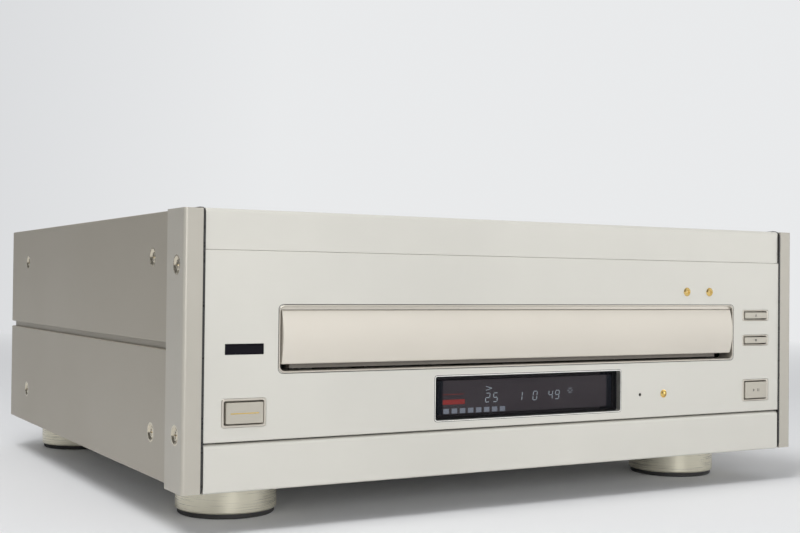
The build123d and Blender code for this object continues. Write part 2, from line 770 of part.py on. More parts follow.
def top_cover():
    """Folded top cover with hemmed sides and two groups of air slots."""
    y0 = face + band_set_back + panel_t
    y1 = rear
    lap = face + band_set_back + 9.0
    cover = block(-wall_x, wall_x, lap, y1, pan_z0 + pan_wall, cover_z1)
    cover -= block(-wall_x + sheet, wall_x - sheet, lap - 1, y1 + 1, pan_z0, cover_z1 - sheet)
    cover -= block(-wall_x - 1, wall_x + 1, lap - 1, face + post_d, pan_z0, cover_z1 - sheet)
    for side in (-1, 1):
        x0, x1 = sorted((side * (half - 1), side * (wall_x + 1)))
        cover -= block(x0, x1, lap - 1, face + post_d, pan_z0, cover_z1 + 1)
    cover += block(-half + 2, half - 2, y0, lap, cover_z1 - 4.0, band_z1 - 3.2)
    cover += block(-half + 2, half - 2, lap, lap + 4, cover_z1 - 4.0, cover_z1 - 0.5)
    for i in range(vent_count):
        for x in (-120.0, 120.0):
            slot_x = x + (i - (vent_count - 1) / 2) * vent_pitch
            slot = Pos(slot_x, rear - 60.0, cover_z1) * Rot(0, 0, 90) * SlotOverall(56.0, 2.6)
            cover -= extrude(slot, 4, both=True)
    return cover


def rear_panel():
    """Rear sheet with holes for the sockets and a row of air slots."""
    y0 = rear - sheet
    z1 = cover_z1 - sheet
    panel = block(-wall_x + sheet, wall_x - sheet, y0, rear, rear_z0, z1)
    for x in audio_x + video_x:
        for z in audio_z:
            panel -= rod_y(x, z, phono_r + 1.0, y0 - 1, rear + 1)
    panel -= rod_y(s_jack_x, audio_z[0], s_jack_r + 1.0, y0 - 1, rear + 1)
    panel -= slab_y((digital_x, audio_z[0]), (12.6, 12.6), 0.6, y0 - 1, rear + 1)
    panel -= rod_y(control_x, audio_z[0], 4.0, y0 - 1, rear + 1)
    panel -= rod_y(control_x, audio_z[1], 4.0, y0 - 1, rear + 1)
    panel -= slab_y(inlet_at, inlet_size, 1.5, y0 - 1, rear + 1)
    for i in range(vent_count):
        x = 110.0 + (i - (vent_count - 1) / 2) * vent_pitch
        panel -= plate_y(Pos(x, 140.0) * Rot(0, 0, 90) * SlotOverall(34.0, 2.6), y0 - 1, rear + 1)
    return panel


def foot_centres():
    return [(side * foot_x, y) for side in (-1, 1) for y in (face + foot_front, rear - foot_rear)]


def feet():
    """Turned feet, each with a core that holds its rubber ring."""
    core_r = rubber_r - rubber_wall - 0.3
    outline = [(0, pan_z0), (foot_r - 4, pan_z0), (foot_r - 4, pan_z0 - 2), (foot_r - 0.8, pan_z0 - 2),
               (foot_r, pan_z0 - 2.8), (foot_r, rubber_h + 0.8), (foot_r - 0.8, rubber_h),
               (core_r, rubber_h), (core_r, foot_core_z), (0, foot_core_z)]
    return Compound(children=[turned(outline, x, y) for x, y in foot_centres()])


def foot_rings():
    outline = [(rubber_r - rubber_wall, 0), (rubber_r - 0.8, 0), (rubber_r, 0.8), (rubber_r, rubber_h),
               (rubber_r - rubber_wall, rubber_h)]
    return Compound(children=[turned(outline, x, y) for x, y in foot_centres()])


# ---------------------------------------------------------------- tray
def tray():
    """Disc tray: three stepped wells, pickup cut-out, side tongues, rear arms and stiffening ribs."""
    y0 = face + tray_y0
    y1 = face + tray_y1
    half_w = tray_w / 2
    body = block(-half_w, half_w, y0, y1, tray_z0, tray_z1)
    body -= rod_z(0, spin_y, well_r, tray_floor, tray_z1 + 1)
    body -= rod_z(0, spin_y, well_mid_r, tray_floor - well_step, tray_z1 + 1)
    body -= rod_z(0, spin_y, well_small_r, tray_floor - 2 * well_step, tray_z1 + 1)
    opening = rod_z(0, spin_y, slot_half, tray_z0 - 1, tray_z1 + 1)
    opening += block(-slot_half, slot_half, spin_y, y1 + 1, tray_z0 - 1, tray_z1 + 1)
    body -= opening
    for side in (-1, 1):
        finger = Pos(side * 112.0, spin_y - 112.0, tray_z1) * Cylinder(20, 9)
        body -= finger
    for side in (-1, 1):
        x0, x1 = sorted((side * (half_w - arm_w), side * half_w))
        body += block(x0, x1, y1 - 1, face + arm_y1, tray_z0, tongue_z0 + tongue_h)
        x0, x1 = sorted((side * (half_w - 1), side * (half_w + tongue)))
        body += block(x0, x1, y0 + 12, face + arm_y1, tongue_z0, tongue_z0 + tongue_h)
    sill = block(-161.5, 161.5, face + 8.0, face + 14.0, rack_z0, tray_z0 + 1)
    return body + sill + tray_rack()


def tray_front():
    """Tray front: a crowned bar with rounded upper and lower edges."""
    y_edge = face + front_edge
    y_back = y_edge + front_t
    middle = (front_z0 + front_z1) / 2
    crown = make_face(
        ThreePointArc((y_edge, front_z0 + 0.5), (y_edge - front_crown, middle), (y_edge, front_z1 - 0.5))
        + Polyline((y_edge, front_z1 - 0.5), (y_edge + 0.5, front_z1), (y_back, front_z1), (y_back, front_z0),
                   (y_edge + 0.5, front_z0), (y_edge, front_z0 + 0.5)))
    bar = extrude(Plane.YZ.offset(-front_w / 2) * crown, front_w)
    return bar


def tray_rack():
    """Rack under the tray's left edge, in mesh with the pinion at rest."""
    pitch = math.pi * rack_module
    y0 = face + 24.0
    y1 = face + arm_y1
    root = rack_x - 1.15 * rack_module
    tip = rack_x + 0.9 * rack_module
    points = [(rack_x - 6.0, y1), (rack_x - 6.0, y0), (root, y0)]
    first = math.ceil((y0 - gear_y) / pitch)
    last = math.floor((y1 - gear_y) / pitch) - 1
    for i in range(first, last):
        middle = gear_y + (i + 0.5) * pitch
        points.append((root, middle - 0.36 * pitch))
        points.append((tip, middle - 0.13 * pitch))
        points.append((tip, middle + 0.13 * pitch))
        points.append((root, middle + 0.36 * pitch))
    points.append((root, y1))
    outline = make_face(Polyline(*points, close=True))
    return extrude(Plane.XY.offset(rack_z0) * outline, tray_z0 - rack_z0 + 0.5)


def tray_rail(side):
    """Side rail with the groove that the tray's tongue runs in, and a foot on the base."""
    outline = make_face(Polyline(
        (rail_x, rail_z0), (rail_x + rail_t, rail_z0), (rail_x + rail_t, rail_z1), (rail_x, rail_z1),
        (rail_x, tongue_z0 + tongue_h + run), (rail_x + tongue + run, tongue_z0 + tongue_h + run),
        (rail_x + tongue + run, tongue_z0 - run), (rail_x, tongue_z0 - run), close=True))
    rail = plate_y(outline, rail_y0, rail_y1)
    rail -= block(rail_x - 1, rail_x + rail_t + 1, face + 120, face + 290, rail_z0 + 8, tongue_z0 - 8)
    return rail if side > 0 else mirrored(rail)


# ---------------------------------------------------------------- mechanism
def mech_base():
    """Base plate of the mechanism on four legs, cut out for the carriage."""
    edge = rail_x + rail_t
    base = block(-edge, edge, rail_y0, rail_y1, base_z0, base_z0 + base_t)
    z0 = base_z0 - 1
    z1 = base_z0 + base_t + 1
    base -= block(-guide_out - 4, guide_in - 1, face + guide_y0 - 6, rail_y1 - 12, z0, z1)
    base -= rod_z(0, spin_y, 24.0, z0, z1)
    base -= block(60, 140, face + 230, rail_y1 - 32, z0, z1)
    base -= block(-150, -70, face + 250, rail_y1 - 32, z0, z1)
    base -= rod_z(motor_x, gear_y, motor_r + 0.5, z0, z1)
    for x in (-edge + 12, edge - 12):
        for y in (rail_y0 + 40, rail_y1 - 50):
            base += rod_z(x, y, 6.0, pan_z0 + sheet, base_z0)
            base += rod_z(x, y, 9.0, base_z0 - 4, base_z0)
    for x, y, z in drive_pins():
        base += rod_z(x, y, 2.0, base_z0 + base_t - 0.5, z)
        base += rod_z(x, y, 4.5, base_z0 + base_t - 0.5, pulley_z0 - 0.6)
    for side in (-1, 1):
        for y in guide_posts():
            base += rod_z(side * (guide_out + 7), y, 4.0, base_z0 + base_t - 0.5, turn_z - rack_r + 3.0)
    for x in (-26.0, 26.0):
        base += rod_z(x, spin_y - 16, 2.5, base_z0 + base_t - 0.5, 84.0)
    return base


def drive_pins():
    return [(gear_x, gear_y, tray_z0 - 0.4), (idler_x, gear_y, wheel_z0 + wheel_h + 0.6)]


def guide_posts():
    return [face + guide_y0 + 24.0, turn_yy - 23.0]


def tray_gear():
    """Tray gear: a wheel with the pinion that meets the tray's rack above it."""
    bore = 2.0 + shaft_fit
    wheel = extrude(Plane.XY.offset(wheel_z0) * gear_face(wheel_teeth, gear_module, bore), wheel_h)
    pinion_z0 = wheel_z0 + wheel_h - 0.5
    pinion = extrude(Plane.XY.offset(pinion_z0) * gear_face(pinion_teeth, rack_module, bore, math.pi),
                     tray_z0 - 0.6 - pinion_z0)
    hub = rod_z(0, 0, 5.0, pulley_z0, wheel_z0 + 0.2) - rod_z(0, 0, bore, pulley_z0 - 1, wheel_z0 + 1)
    return Pos(gear_x, gear_y, 0) * (wheel + pinion + hub)


def idler_gear():
    """Belt wheel with the small gear that drives the tray gear."""
    bore = 2.0 + shaft_fit
    phase = math.pi + math.pi / idler_teeth
    z1 = wheel_z0 - 0.6
    gear = extrude(Plane.XY.offset(z1) * gear_face(idler_teeth, gear_module, bore, phase), wheel_h + 0.6)
    outline = [(bore, pulley_z0)] + belt_groove(pulley_r) + [(8.0, z1), (bore, z1)]
    return Pos(idler_x, gear_y, 0) * (gear + turned(outline, 0, 0))


def belt_groove(r):
    """Rim of a belt pulley: two flanges with sloping flanks."""
    rim = r + 1.4
    return [(rim, pulley_z0), (rim, pulley_z0 + 0.8), (r, pulley_z0 + 1.6), (r, pulley_z0 + pulley_h - 1.4),
            (rim, pulley_z0 + pulley_h - 0.6), (rim, pulley_z0 + pulley_h)]


def motor_pulley():
    bore = 1.0 + shaft_fit
    outline = [(bore, pulley_z0)] + belt_groove(motor_pulley_r) + [(bore, pulley_z0 + pulley_h)]
    return turned(outline, motor_x, gear_y)


def loading_belt():
    """Flat rubber belt round both pulleys: two arcs joined by their tangents."""
    d = motor_x - idler_x
    lean = math.acos((pulley_r - motor_pulley_r) / d)
    loops = []
    for extra in (belt_t + 0.3, 0.3):
        big = pulley_r + extra
        small = motor_pulley_r + extra
        a = (big * math.cos(lean), big * math.sin(lean))
        b = (d + small * math.cos(lean), small * math.sin(lean))
        loops.append(make_face(
            ThreePointArc((a[0], -a[1]), (-big, 0), a) + Line(a, b)
            + ThreePointArc(b, (d + small, 0), (b[0], -b[1])) + Line((b[0], -b[1]), (a[0], -a[1]))))
    band = extrude(Plane.XY.offset(pulley_z0 + 1.8) * (loops[0] - loops[1]), 1.6)
    return Pos(idler_x, gear_y, 0) * band


def loading_motor():
    """Small can motor under the base, its shaft up through the pulley."""
    can = [(0, 46.0), (4, 46.0), (4, 48.0), (motor_r, 48.0), (motor_r, 60.0), (motor_r + 3, 60.0),
           (motor_r + 3, 61.2), (motor_r, 61.2), (motor_r, 68.0), (motor_r - 1, 69.0), (4, 69.0), (4, 70.5),
           (1.0, 70.5), (1.0, pulley_z0 + pulley_h + 0.5), (0, pulley_z0 + pulley_h + 0.5)]
    return turned(can, motor_x, gear_y)


def lift_cam():
    """Cam slide under the turntable: a plate with a ramp for the spindle's pin."""
    y0 = spin_y - 34.0
    plate = block(-52, 44, y0, y0 + 10, base_z0 + base_t + seat_gap, base_z0 + base_t + 3.3)
    ramp_l = 3 * lift
    ramp = make_face(Polyline((-10 - ramp_l, 63.0), (0, 63.0), (0, 65.0), (-ramp_l, 65.0 + lift),
                              (-10 - ramp_l, 65.0 + lift), close=True))
    return plate + plate_y(ramp, y0 + 2, y0 + 5)


def spindle_motor():
    """Spindle motor with its flange, guide ears and the pin that rides on the cam's ramp."""
    can = [(0, 64.0), (20.0, 64.0), (20.0, 78.0), (18.0, 80.0), (7.0, 80.0), (7.0, 82.0), (shaft_r, 82.0),
           (shaft_r, seat_z - 1.0), (0, seat_z - 1.0)]
    motor = turned(can, 0, spin_y)
    wings = block(-31, 31, spin_y - 21, spin_y - 11, 70.0, 72.0)
    for x in (-26.0, 26.0):
        wings += rod_z(x, spin_y - 16, 4.5, 66.0, 76.0)
    motor += wings
    for x in (-26.0, 26.0):
        motor -= rod_z(x, spin_y - 16, 2.5 + shaft_fit, 60.0, 90.0)
    arm = block(-3, 3, spin_y - 32.6, spin_y - 19, 67.2, 70.6)
    arm += rod_y(0.8, 66.9, 1.5, spin_y - 32.4, spin_y - 28.0)
    return motor + arm


def turntable():
    """Turntable: a flanged seat bored for the shaft, with the sprung centring cone on it."""
    bore = shaft_r + shaft_fit
    seat = [(bore, 84.0), (6.0, 84.0), (8.0, seat_z - 4.0), (spin_r - 2.0, seat_z - 3.0),
            (spin_r, seat_z - 2.2), (spin_r, seat_z), (bore, seat_z)]
    cone = [(bore, seat_z), (hub_r, seat_z), (hub_r, seat_z + 1.5), (hub_r - 4.0, seat_z + hub_h),
            (8.0, seat_z + hub_h), (7.0, seat_z + 3.0), (bore, seat_z + 3.0)]
    return Compound(children=[turned(seat, 0, spin_y), turned(cone, 0, spin_y)])


def clamp_bridge():
    """Bridge over the tray with stiffening folds and the holes for the clamp's guide pins."""
    x1 = rail_x + rail_t
    y0 = spin_y - 18.0
    y1 = spin_y + 18.0
    under = [(x1, rail_z1), (x1 - 10, rail_z1), (x1 - 14, 124.6)]
    over = [(x1 - 13, 126.6), (x1 - 9, rail_z1 + 2), (x1, rail_z1 + 2)]
    right = over + under
    left = [(-x, z) for x, z in reversed(right)]
    outline = make_face(Polyline(*(right + left), close=True))
    bridge = plate_y(outline, y0, y1)
    for y in (y0, y1 - 2.0):
        bridge += block(-x1 + 16, x1 - 16, y, y + 2.0, 126.0, 132.0)
    for x in (-21.0, 21.0):
        bridge -= rod_z(x, spin_y, 2.0 + shaft_fit, 120, 130)
    return bridge


def clamp_holder():
    """Carrier plate of the clamper, hung on two headed pins."""
    plate = rod_z(0, spin_y, 26.0, 118.2, 120.2)
    plate -= rod_z(0, spin_y, 10.6, 118, 121)
    for x in (-21.0, 21.0):
        plate += rod_z(x, spin_y, 2.0, 120.0, 126.6 + clamp_drop + 0.6)
        plate += rod_z(x, spin_y, 4.0, 126.6 + clamp_drop + 0.3, 126.6 + clamp_drop + 1.8)
    return plate


def clamper():
    """Clamper: a pressure ring round the turntable's cone, under a cap with a flanged neck."""
    z1 = clamp_z + hub_h
    ring = [(press_r, clamp_z), (spin_r, clamp_z), (spin_r, z1), (press_r, z1)]
    cap = [(0, z1), (spin_r, z1), (spin_r - 4, clamp_z + 7), (10.0, clamp_z + 8.6), (10.0, 120.5),
           (14.0, 120.5), (14.0, 122.3), (0, 122.3)]
    return Compound(children=[turned(ring, 0, spin_y), turned(cap, 0, spin_y)])


def turning_guide(side):
    """Guide plate of the pickup: slot round a half turn, rack teeth along its outer edge."""
    run_l = turn_y - guide_y0
    outer_r = rack_r - 1.15 * gear_module if side < 0 else rack_r
    legs = Pos(-run_l / 2, 0) * Rectangle(run_l, 2 * outer_r) + Circle(outer_r)
    plate = legs - Pos(-run_l / 2 - 8, 0) * Rectangle(run_l + 2, disc_gap)
    slot = Circle(slot_r + slot_w / 2) - Circle(slot_r - slot_w / 2)
    slot -= Pos(-slot_r * 2, 0) * Rectangle(slot_r * 4, slot_r * 4)
    for z in (-slot_r, slot_r):
        slot += Pos((guide_end - run_l) / 2, z) * Rectangle(run_l - guide_end, slot_w)
    plate -= slot
    if side < 0:
        plate += rack_teeth(run_l, outer_r)
    body = extrude(Plane(origin=(0, turn_yy, turn_z), x_dir=(0, 1, 0), z_dir=(1, 0, 0)) * plate, guide_t)
    x0 = guide_in if side > 0 else -guide_out
    body = Pos(x0, 0, 0) * body
    for y in guide_posts():
        tab_x = sorted((side * (guide_out - 0.5), side * (guide_out + 11.0)))
        body += block(tab_x[0], tab_x[1], y - 5, y + 5, turn_z - rack_r + 3.0, turn_z - rack_r + 4.6)
    return body


def turning_guides():
    """Both guide plates, tied together by a tube at the centre of the turn."""
    tie = rod_x(turn_yy + 8.0, turn_z, 4.0, -guide_in - 1, guide_in + 1)
    return turning_guide(-1) + turning_guide(1) + tie


def rack_teeth(run_l, outer_r):
    """Teeth along both straight edges and round the half turn of a guide plate."""
    pitch = math.pi * gear_module
    tip_h = 2.05 * gear_module
    count = int((run_l - 6) / pitch)
    tooth = make_face(Polyline((-0.36 * pitch, -0.3), (0.36 * pitch, -0.3), (0.14 * pitch, tip_h),
                               (-0.14 * pitch, tip_h), close=True))
    teeth = []
    for i in range(count):
        y = -(i + 0.5) * pitch
        teeth.append(Pos(y, -outer_r) * Rot(0, 0, 180) * tooth)
        teeth.append(Pos(y, outer_r) * tooth)
    around = int(math.pi * rack_r / pitch)
    for i in range(around):
        angle = 180 * (i + 0.5) / around - 90
        teeth.append(Rot(0, 0, angle) * Pos(outer_r, 0) * Rot(0, 0, -90) * tooth)
    return teeth


def carriage():
    """Pickup carriage: cast frame between the guides, four rollers and the gear's bracket."""
    y0 = carriage_yy - carriage_l / 2
    y1 = carriage_yy + carriage_l / 2
    wide = guide_in - 1.0
    frame = block(-wide, wide, y0, y1, 68.0, 84.0)
    frame -= block(-wide + 4, wide - 4, y0 + 4, y1 - 4, 70.5, 85.0)
    frame += block(-18, 18, y0 + 3, y1 - 3, 70.0, 88.0)
    for side in (-1, 1):
        for y in (y0 + 6, y1 - 6):
            x0, x1 = sorted((side * (wide - 2), side * (guide_out + 0.4)))
            frame += rod_x(y, turn_z - slot_r, 1.6, x0, x1)
            x0, x1 = sorted((side * (guide_in + 0.2), side * (guide_out + 0.2)))
            frame += rod_x(y, turn_z - slot_r, roller_r, x0, x1)
    gear_z = turn_z - rack_r - pin_gear_r
    arm = block(-wide, -wide + 3, carriage_yy - 5, carriage_yy + 5, gear_z - 4, 69.0)
    arm += rod_x(carriage_yy, gear_z, 1.5, -guide_out - 0.4, -wide + 1)
    motor = rod_x(carriage_yy, 60.0, 7.5, -wide + 3.0, 12.0)
    return frame + arm + motor


def carriage_gear():
    gear_z = turn_z - rack_r - pin_gear_r
    bore = 1.5 + shaft_fit
    pitches = -carriage_before / (math.pi * gear_module)  # from the turn's centre, at a gap of the rack
    phase = math.pi / 2 + (pitches % 1.0) * 2 * math.pi / pin_gear_teeth
    profile = gear_face(pin_gear_teeth, gear_module, bore, phase)
    plane = Plane(origin=(-guide_out, carriage_yy, gear_z), x_dir=(0, 1, 0), z_dir=(1, 0, 0))
    return extrude(plane * profile, guide_t)


def pickup():
    """Pickup head: stepped body with its round lens cell."""
    body = block(-15, 15, carriage_yy - 13, carriage_yy + 13, 88.0, 92.0)
    body += block(-11, 11, carriage_yy - 9, carriage_yy + 9, 91.5, 94.5)
    body += rod_z(0, carriage_yy, 6.0, 94.0, 96.4)
    return body - rod_z(0, carriage_yy, 4.0 + 0.02, 95.0, 97.0)


def pickup_lens():
    outline = [(0, 95.0), (4.0, 95.0), (4.0, 96.4), (2.6, 97.2), (0, lens_z)]
    return turned(outline, 0, carriage_yy)


# ---------------------------------------------------------------- electronics
def main_board():
    """Board on the floor of the pan with rows of parts and standoffs."""
    z0 = main_board_z
    board = block(-150, 54, face + 214, rear - 8, z0, z0 + board_t)
    for x in (-140.0, 46.0):
        for y in (face + 220, rear - 20):
            board += rod_z(x, y, 3.0, pan_z0 + sheet, z0)
    for i in range(5):
        board += block(-138 + i * 36, -118 + i * 36, face + 240, face + 260, z0 + board_t - 0.1, z0 + 4.0)
    for i in range(8):
        board += rod_z(-140 + i * 24, face + 285, 4.0, z0 + board_t - 0.1, z0 + 10.0)
    return board


def power_board():
    z0 = main_board_z
    board = block(64, 150, face + 250, rear - 6, z0, z0 + board_t)
    for x in (70.0, 144.0):
        for y in (face + 258, rear - 14):
            board += rod_z(x, y, 3.0, pan_z0 + sheet, z0)
    for i in range(3):
        board += rod_z(88 + i * 22, face + 275, 8.0, z0 + board_t - 0.1, 54.0)
    fins = block(74, 138, rear - 62, rear - 58, z0 + board_t - 0.1, 54.0)
    for i in range(9):
        fins += block(76 + i * 7, 78 + i * 7, rear - 70, rear - 61, z0 + board_t - 0.1, 54.0)
    return board + fins


def transformer():
    """Laminated transformer with its winding and mounting ears."""
    x, y = 120.0, face + 130.0
    core = block(x - 38, x + 38, y - 16, y + 16, 30.0, 56.0)
    ears = block(x - 46, x + 46, y - 14, y + 14, pan_z0 + sheet, 30.0)
    coil = block(x - 22, x + 22, y - 26, y + 26, 33.0, 53.0)
    coil = fillet(coil.edges().filter_by(Axis.Z), 6.0)
    return core + ears + coil


def rear_jacks():
    """Phono shells in their moulded blocks, and the round, square and small sockets."""
    pieces = []
    y_in = rear - sheet
    y_out = rear + jack_proud
    barrel = [(phono_hole, y_in), (phono_r + 0.9, y_in), (phono_r + 0.9, rear + 1.0), (phono_r, rear + 1.0),
              (phono_r, y_out - 0.4), (phono_r - 0.4, y_out), (phono_hole, y_out)]
    for xs in (audio_x, video_x):
        body = block(xs[0] - 9, xs[1] + 9, y_in - 12, y_in, audio_z[1] - 9, audio_z[0] + 9)
        for x in xs:
            for z in audio_z:
                body -= rod_y(x, z, phono_hole, y_in - 9, y_in + 1)
                pieces.append(turned_y(barrel, x, z))
        pieces.append(body)
        board_top = main_board_z + board_t
        pieces.append(block(xs[0] - 9, xs[1] + 9, y_in - 12, y_in - 10, board_top, audio_z[1] - 9))
    ring_r = s_jack_r + 0.9
    bore = s_jack_r - 1.2
    ring = [(bore, y_in - 7), (ring_r, y_in - 7), (ring_r, rear + 1.2), (bore, rear + 1.2)]
    pieces.append(turned_y(ring, s_jack_x, audio_z[0]))
    pieces.append(rod_y(s_jack_x, audio_z[0], ring_r, y_in - 12, y_in - 7))
    optical = slab_y((digital_x, audio_z[0]), (12.4, 12.4), 0.6, y_in - 12, rear + 1.5)
    optical -= slab_y((digital_x, audio_z[0]), (9.0, 9.0), 0.6, rear - 4, rear + 3)
    pieces.append(optical)
    small = [(1.75, y_in - 12), (3.9, y_in - 12), (3.9, rear + 1.0), (1.75, rear + 1.0)]
    for z in audio_z:
        pieces.append(turned_y(small, control_x, z))
    return Compound(children=pieces)


def ac_inlet():
    """Mains inlet: flanged moulding with a deep socket and two flat pins."""
    x, z = inlet_at
    w, h = inlet_size
    body = slab_y(inlet_at, (w - 0.2, h - 0.2), 1.4, rear - 18, rear + 0.5)
    flange = slab_y(inlet_at, (w + 4, h + 4), 2.0, rear, rear + 2.2)
    body = body + flange
    body -= slab_y(inlet_at, (w - 5.0, h - 5.0), 2.0, rear - 14.5, rear + 4)
    for dx in (-7.0, 7.0):
        body += block(x + dx - 1, x + dx + 1, rear - 15, rear - 1, z - 2, z + 2)
    return body


def rear_screws():
    """Pan-head screws that hold the rear panel, the cover and the inlet."""
    screws = []
    places = [(-195.0, 165.0), (0.0, 165.0), (195.0, 165.0), (-195.0, 40.0), (195.0, 40.0), (-40.0, 40.0),
              (inlet_at[0] - 20.0, inlet_at[1]), (inlet_at[0] + 20.0, inlet_at[1])]
    for x, z in places:
        head = turned_y([(0, rear), (3.4, rear), (3.4, rear + 1.2), (2.4, rear + 2.2), (0, rear + 2.4)], x, z)
        head -= block(x - 2, x + 2, rear + 1.4, rear + 3, z - 0.4, z + 0.4)
        head -= block(x - 0.4, x + 0.4, rear + 1.4, rear + 3, z - 2, z + 2)
        screws.append(head)
    return screws


# ---------------------------------------------------------------- write
os.makedirs("parts", exist_ok=True)

save("front_panel", front_panel())
save("top_band", top_band())
save("edge_plates", Compound(children=[edge_plate(-1), edge_plate(1)]))
save("corner_posts", Compound(children=[corner_post(-1), corner_post(1)]))
save("tray_opening_trim", tray_trim())
save("key_bezels", Compound(children=[
    bezel(power_at, power_size, power_cap, 0.3),
    bezel(open_at, thin_size, thin_cap),
    bezel(stop_at, thin_size, thin_cap),
    bezel(play_at, play_size, play_cap)]))
save("power_key", key_cap(power_at, power_cap, 1.6, 0.3))
save("open_key", key_cap(open_at, thin_cap, 0.7))
save("stop_key", key_cap(stop_at, thin_cap, 0.7))
save("play_key", key_cap(play_at, play_cap, 0.7))
save("lens_key", lens_key())
lamp_rings, lamp_lenses = lamps()
save("lamp_rings", lamp_rings)
save("lamp_lenses", lamp_lenses)
save("display_window", display_window())
save("display_module", display_module())
save("sensor_window", sensor_window())
save("front_frame", front_frame())
save("key_boards", key_boards())

save("door", door())
save("door_hinge_pins", hinge_pins())
save("control_strip", control_strip())
for number, x in enumerate(small_key_xs(), 1):
    save("small_key_" + str(number), small_key(x))
save("level_knob", level_knob())
save("phone_socket", phone_socket())

save("side_panel_left", side_panel(-1))
save("side_panel_right", side_panel(1))
save("cup_washers", cup_washers())
save("screws", Compound(children=side_screws() + rear_screws()))
save("chassis_pan", chassis_pan())
save("top_cover", top_cover())
save("rear_panel", rear_panel())
save("feet", feet())
save("foot_rings", foot_rings())

save("tray", tray())
save("tray_front", tray_front())
save("tray_rails", Compound(children=[tray_rail(-1), tray_rail(1)]))

save("mech_base", mech_base())
save("tray_gear", tray_gear())
save("idler_gear", idler_gear())
save("motor_pulley", motor_pulley())
save("loading_belt", loading_belt())
save("loading_motor", loading_motor())
save("lift_cam", lift_cam())
save("spindle_motor", spindle_motor())
save("turntable", turntable())
save("clamp_bridge", clamp_bridge())
save("clamp_holder", clamp_holder())
save("clamper", clamper())
save("turning_guides", turning_guides())
save("carriage", carriage())
save("carriage_gear", carriage_gear())
save("pickup", Compound(children=[pickup(), pickup_lens()]))

save("main_board", main_board())
save("power_board", power_board())
save("transformer", transformer())
save("rear_jacks", rear_jacks())
save("ac_inlet", ac_inlet())
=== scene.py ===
import math
import bmesh
import bpy
from mathutils import Matrix, Vector


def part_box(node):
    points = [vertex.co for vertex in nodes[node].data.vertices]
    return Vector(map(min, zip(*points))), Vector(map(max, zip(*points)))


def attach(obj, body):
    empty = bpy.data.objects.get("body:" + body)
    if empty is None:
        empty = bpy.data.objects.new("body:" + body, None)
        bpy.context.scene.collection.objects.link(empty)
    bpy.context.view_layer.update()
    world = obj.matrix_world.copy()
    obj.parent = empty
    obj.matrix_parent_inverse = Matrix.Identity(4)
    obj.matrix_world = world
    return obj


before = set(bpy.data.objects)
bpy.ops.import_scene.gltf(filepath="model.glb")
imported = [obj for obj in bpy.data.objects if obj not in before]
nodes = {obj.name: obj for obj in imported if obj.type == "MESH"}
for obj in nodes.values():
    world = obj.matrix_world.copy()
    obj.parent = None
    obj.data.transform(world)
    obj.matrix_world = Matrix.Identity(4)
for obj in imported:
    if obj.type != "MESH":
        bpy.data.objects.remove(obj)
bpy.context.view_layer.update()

MM = 0.001
FACE_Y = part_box("front_panel")[0].y
LINING_FLANGE = 4 * MM   # hidden flange of the tray opening's lining


# ---------------------------------------------------------------- shader helpers
class Socket:
    """A number or colour in a node tree: the usual operators add the Math nodes that work it out."""

    def __init__(self, graph, link):
        self.graph = graph
        self.link = link

    def _maths(self, operation, first, second):
        return self.graph.add("ShaderNodeMath", {"operation": operation}, first, second)

    def __add__(self, other):
        return self._maths("ADD", self, other)

    __radd__ = __add__

    def __sub__(self, other):
        return self._maths("SUBTRACT", self, other)

    def __rsub__(self, other):
        return self._maths("SUBTRACT", other, self)

    def __mul__(self, other):
        return self._maths("MULTIPLY", self, other)

    __rmul__ = __mul__

    def __neg__(self):
        return self._maths("MULTIPLY", self, -1.0)

    def below(self, edge):
        return self._maths("LESS_THAN", self, edge)

    def larger(self, other):
        return self._maths("MAXIMUM", self, other)


class Graph:
    """A node tree that nodes are added to, one method for all types."""

    def __init__(self, tree):
        self.tree = tree

    def add(self, kind, settings=None, *values, output=0, **named):
        """One node of the given type: its settings first, then its sockets' values or links."""
        node = self.tree.nodes.new(kind)
        for label, value in (settings or {}).items():
            setattr(node, label, value)
        pairs = list(enumerate(values)) + [(label.replace("_", " "), v) for label, v in named.items()]
        for place, value in pairs:
            if isinstance(value, Socket):
                self.tree.links.new(value.link, node.inputs[place])
            elif value is not None:
                node.inputs[place].default_value = value
        return Socket(self, node.outputs[output])

    def spread(self, value, low, high, new_low, new_high):
        """A value mapped from one range to another and kept inside it."""
        return self.add("ShaderNodeMapRange", {"clamp": True}, value, low, high, new_low, new_high)

    def mix(self, share, first, second):
        """Two colours mixed by a share."""
        colours = [c if isinstance(c, Socket) else colour(c) for c in (first, second)]
        unused = [None] * 5
        return self.add("ShaderNodeMix", {"data_type": "RGBA"}, share, *unused, *colours, output=2)

    def seen(self):
        """1 for rays that show a surface: from the camera, by reflection or through glass."""
        rays = [self.add("ShaderNodeLightPath", output=label)
                for label in ("Is Camera Ray", "Is Glossy Ray", "Is Transmission Ray")]
        return rays[0].larger(rays[1]).larger(rays[2])

    def backdrop(self, sideways):
        """Colour of the pale surroundings, a little darker towards the left."""
        return self.mix(self.spread(sideways, 0.17, 0.40, 0.0, 1.0), BACKDROP_LEFT, BACKDROP_RIGHT)


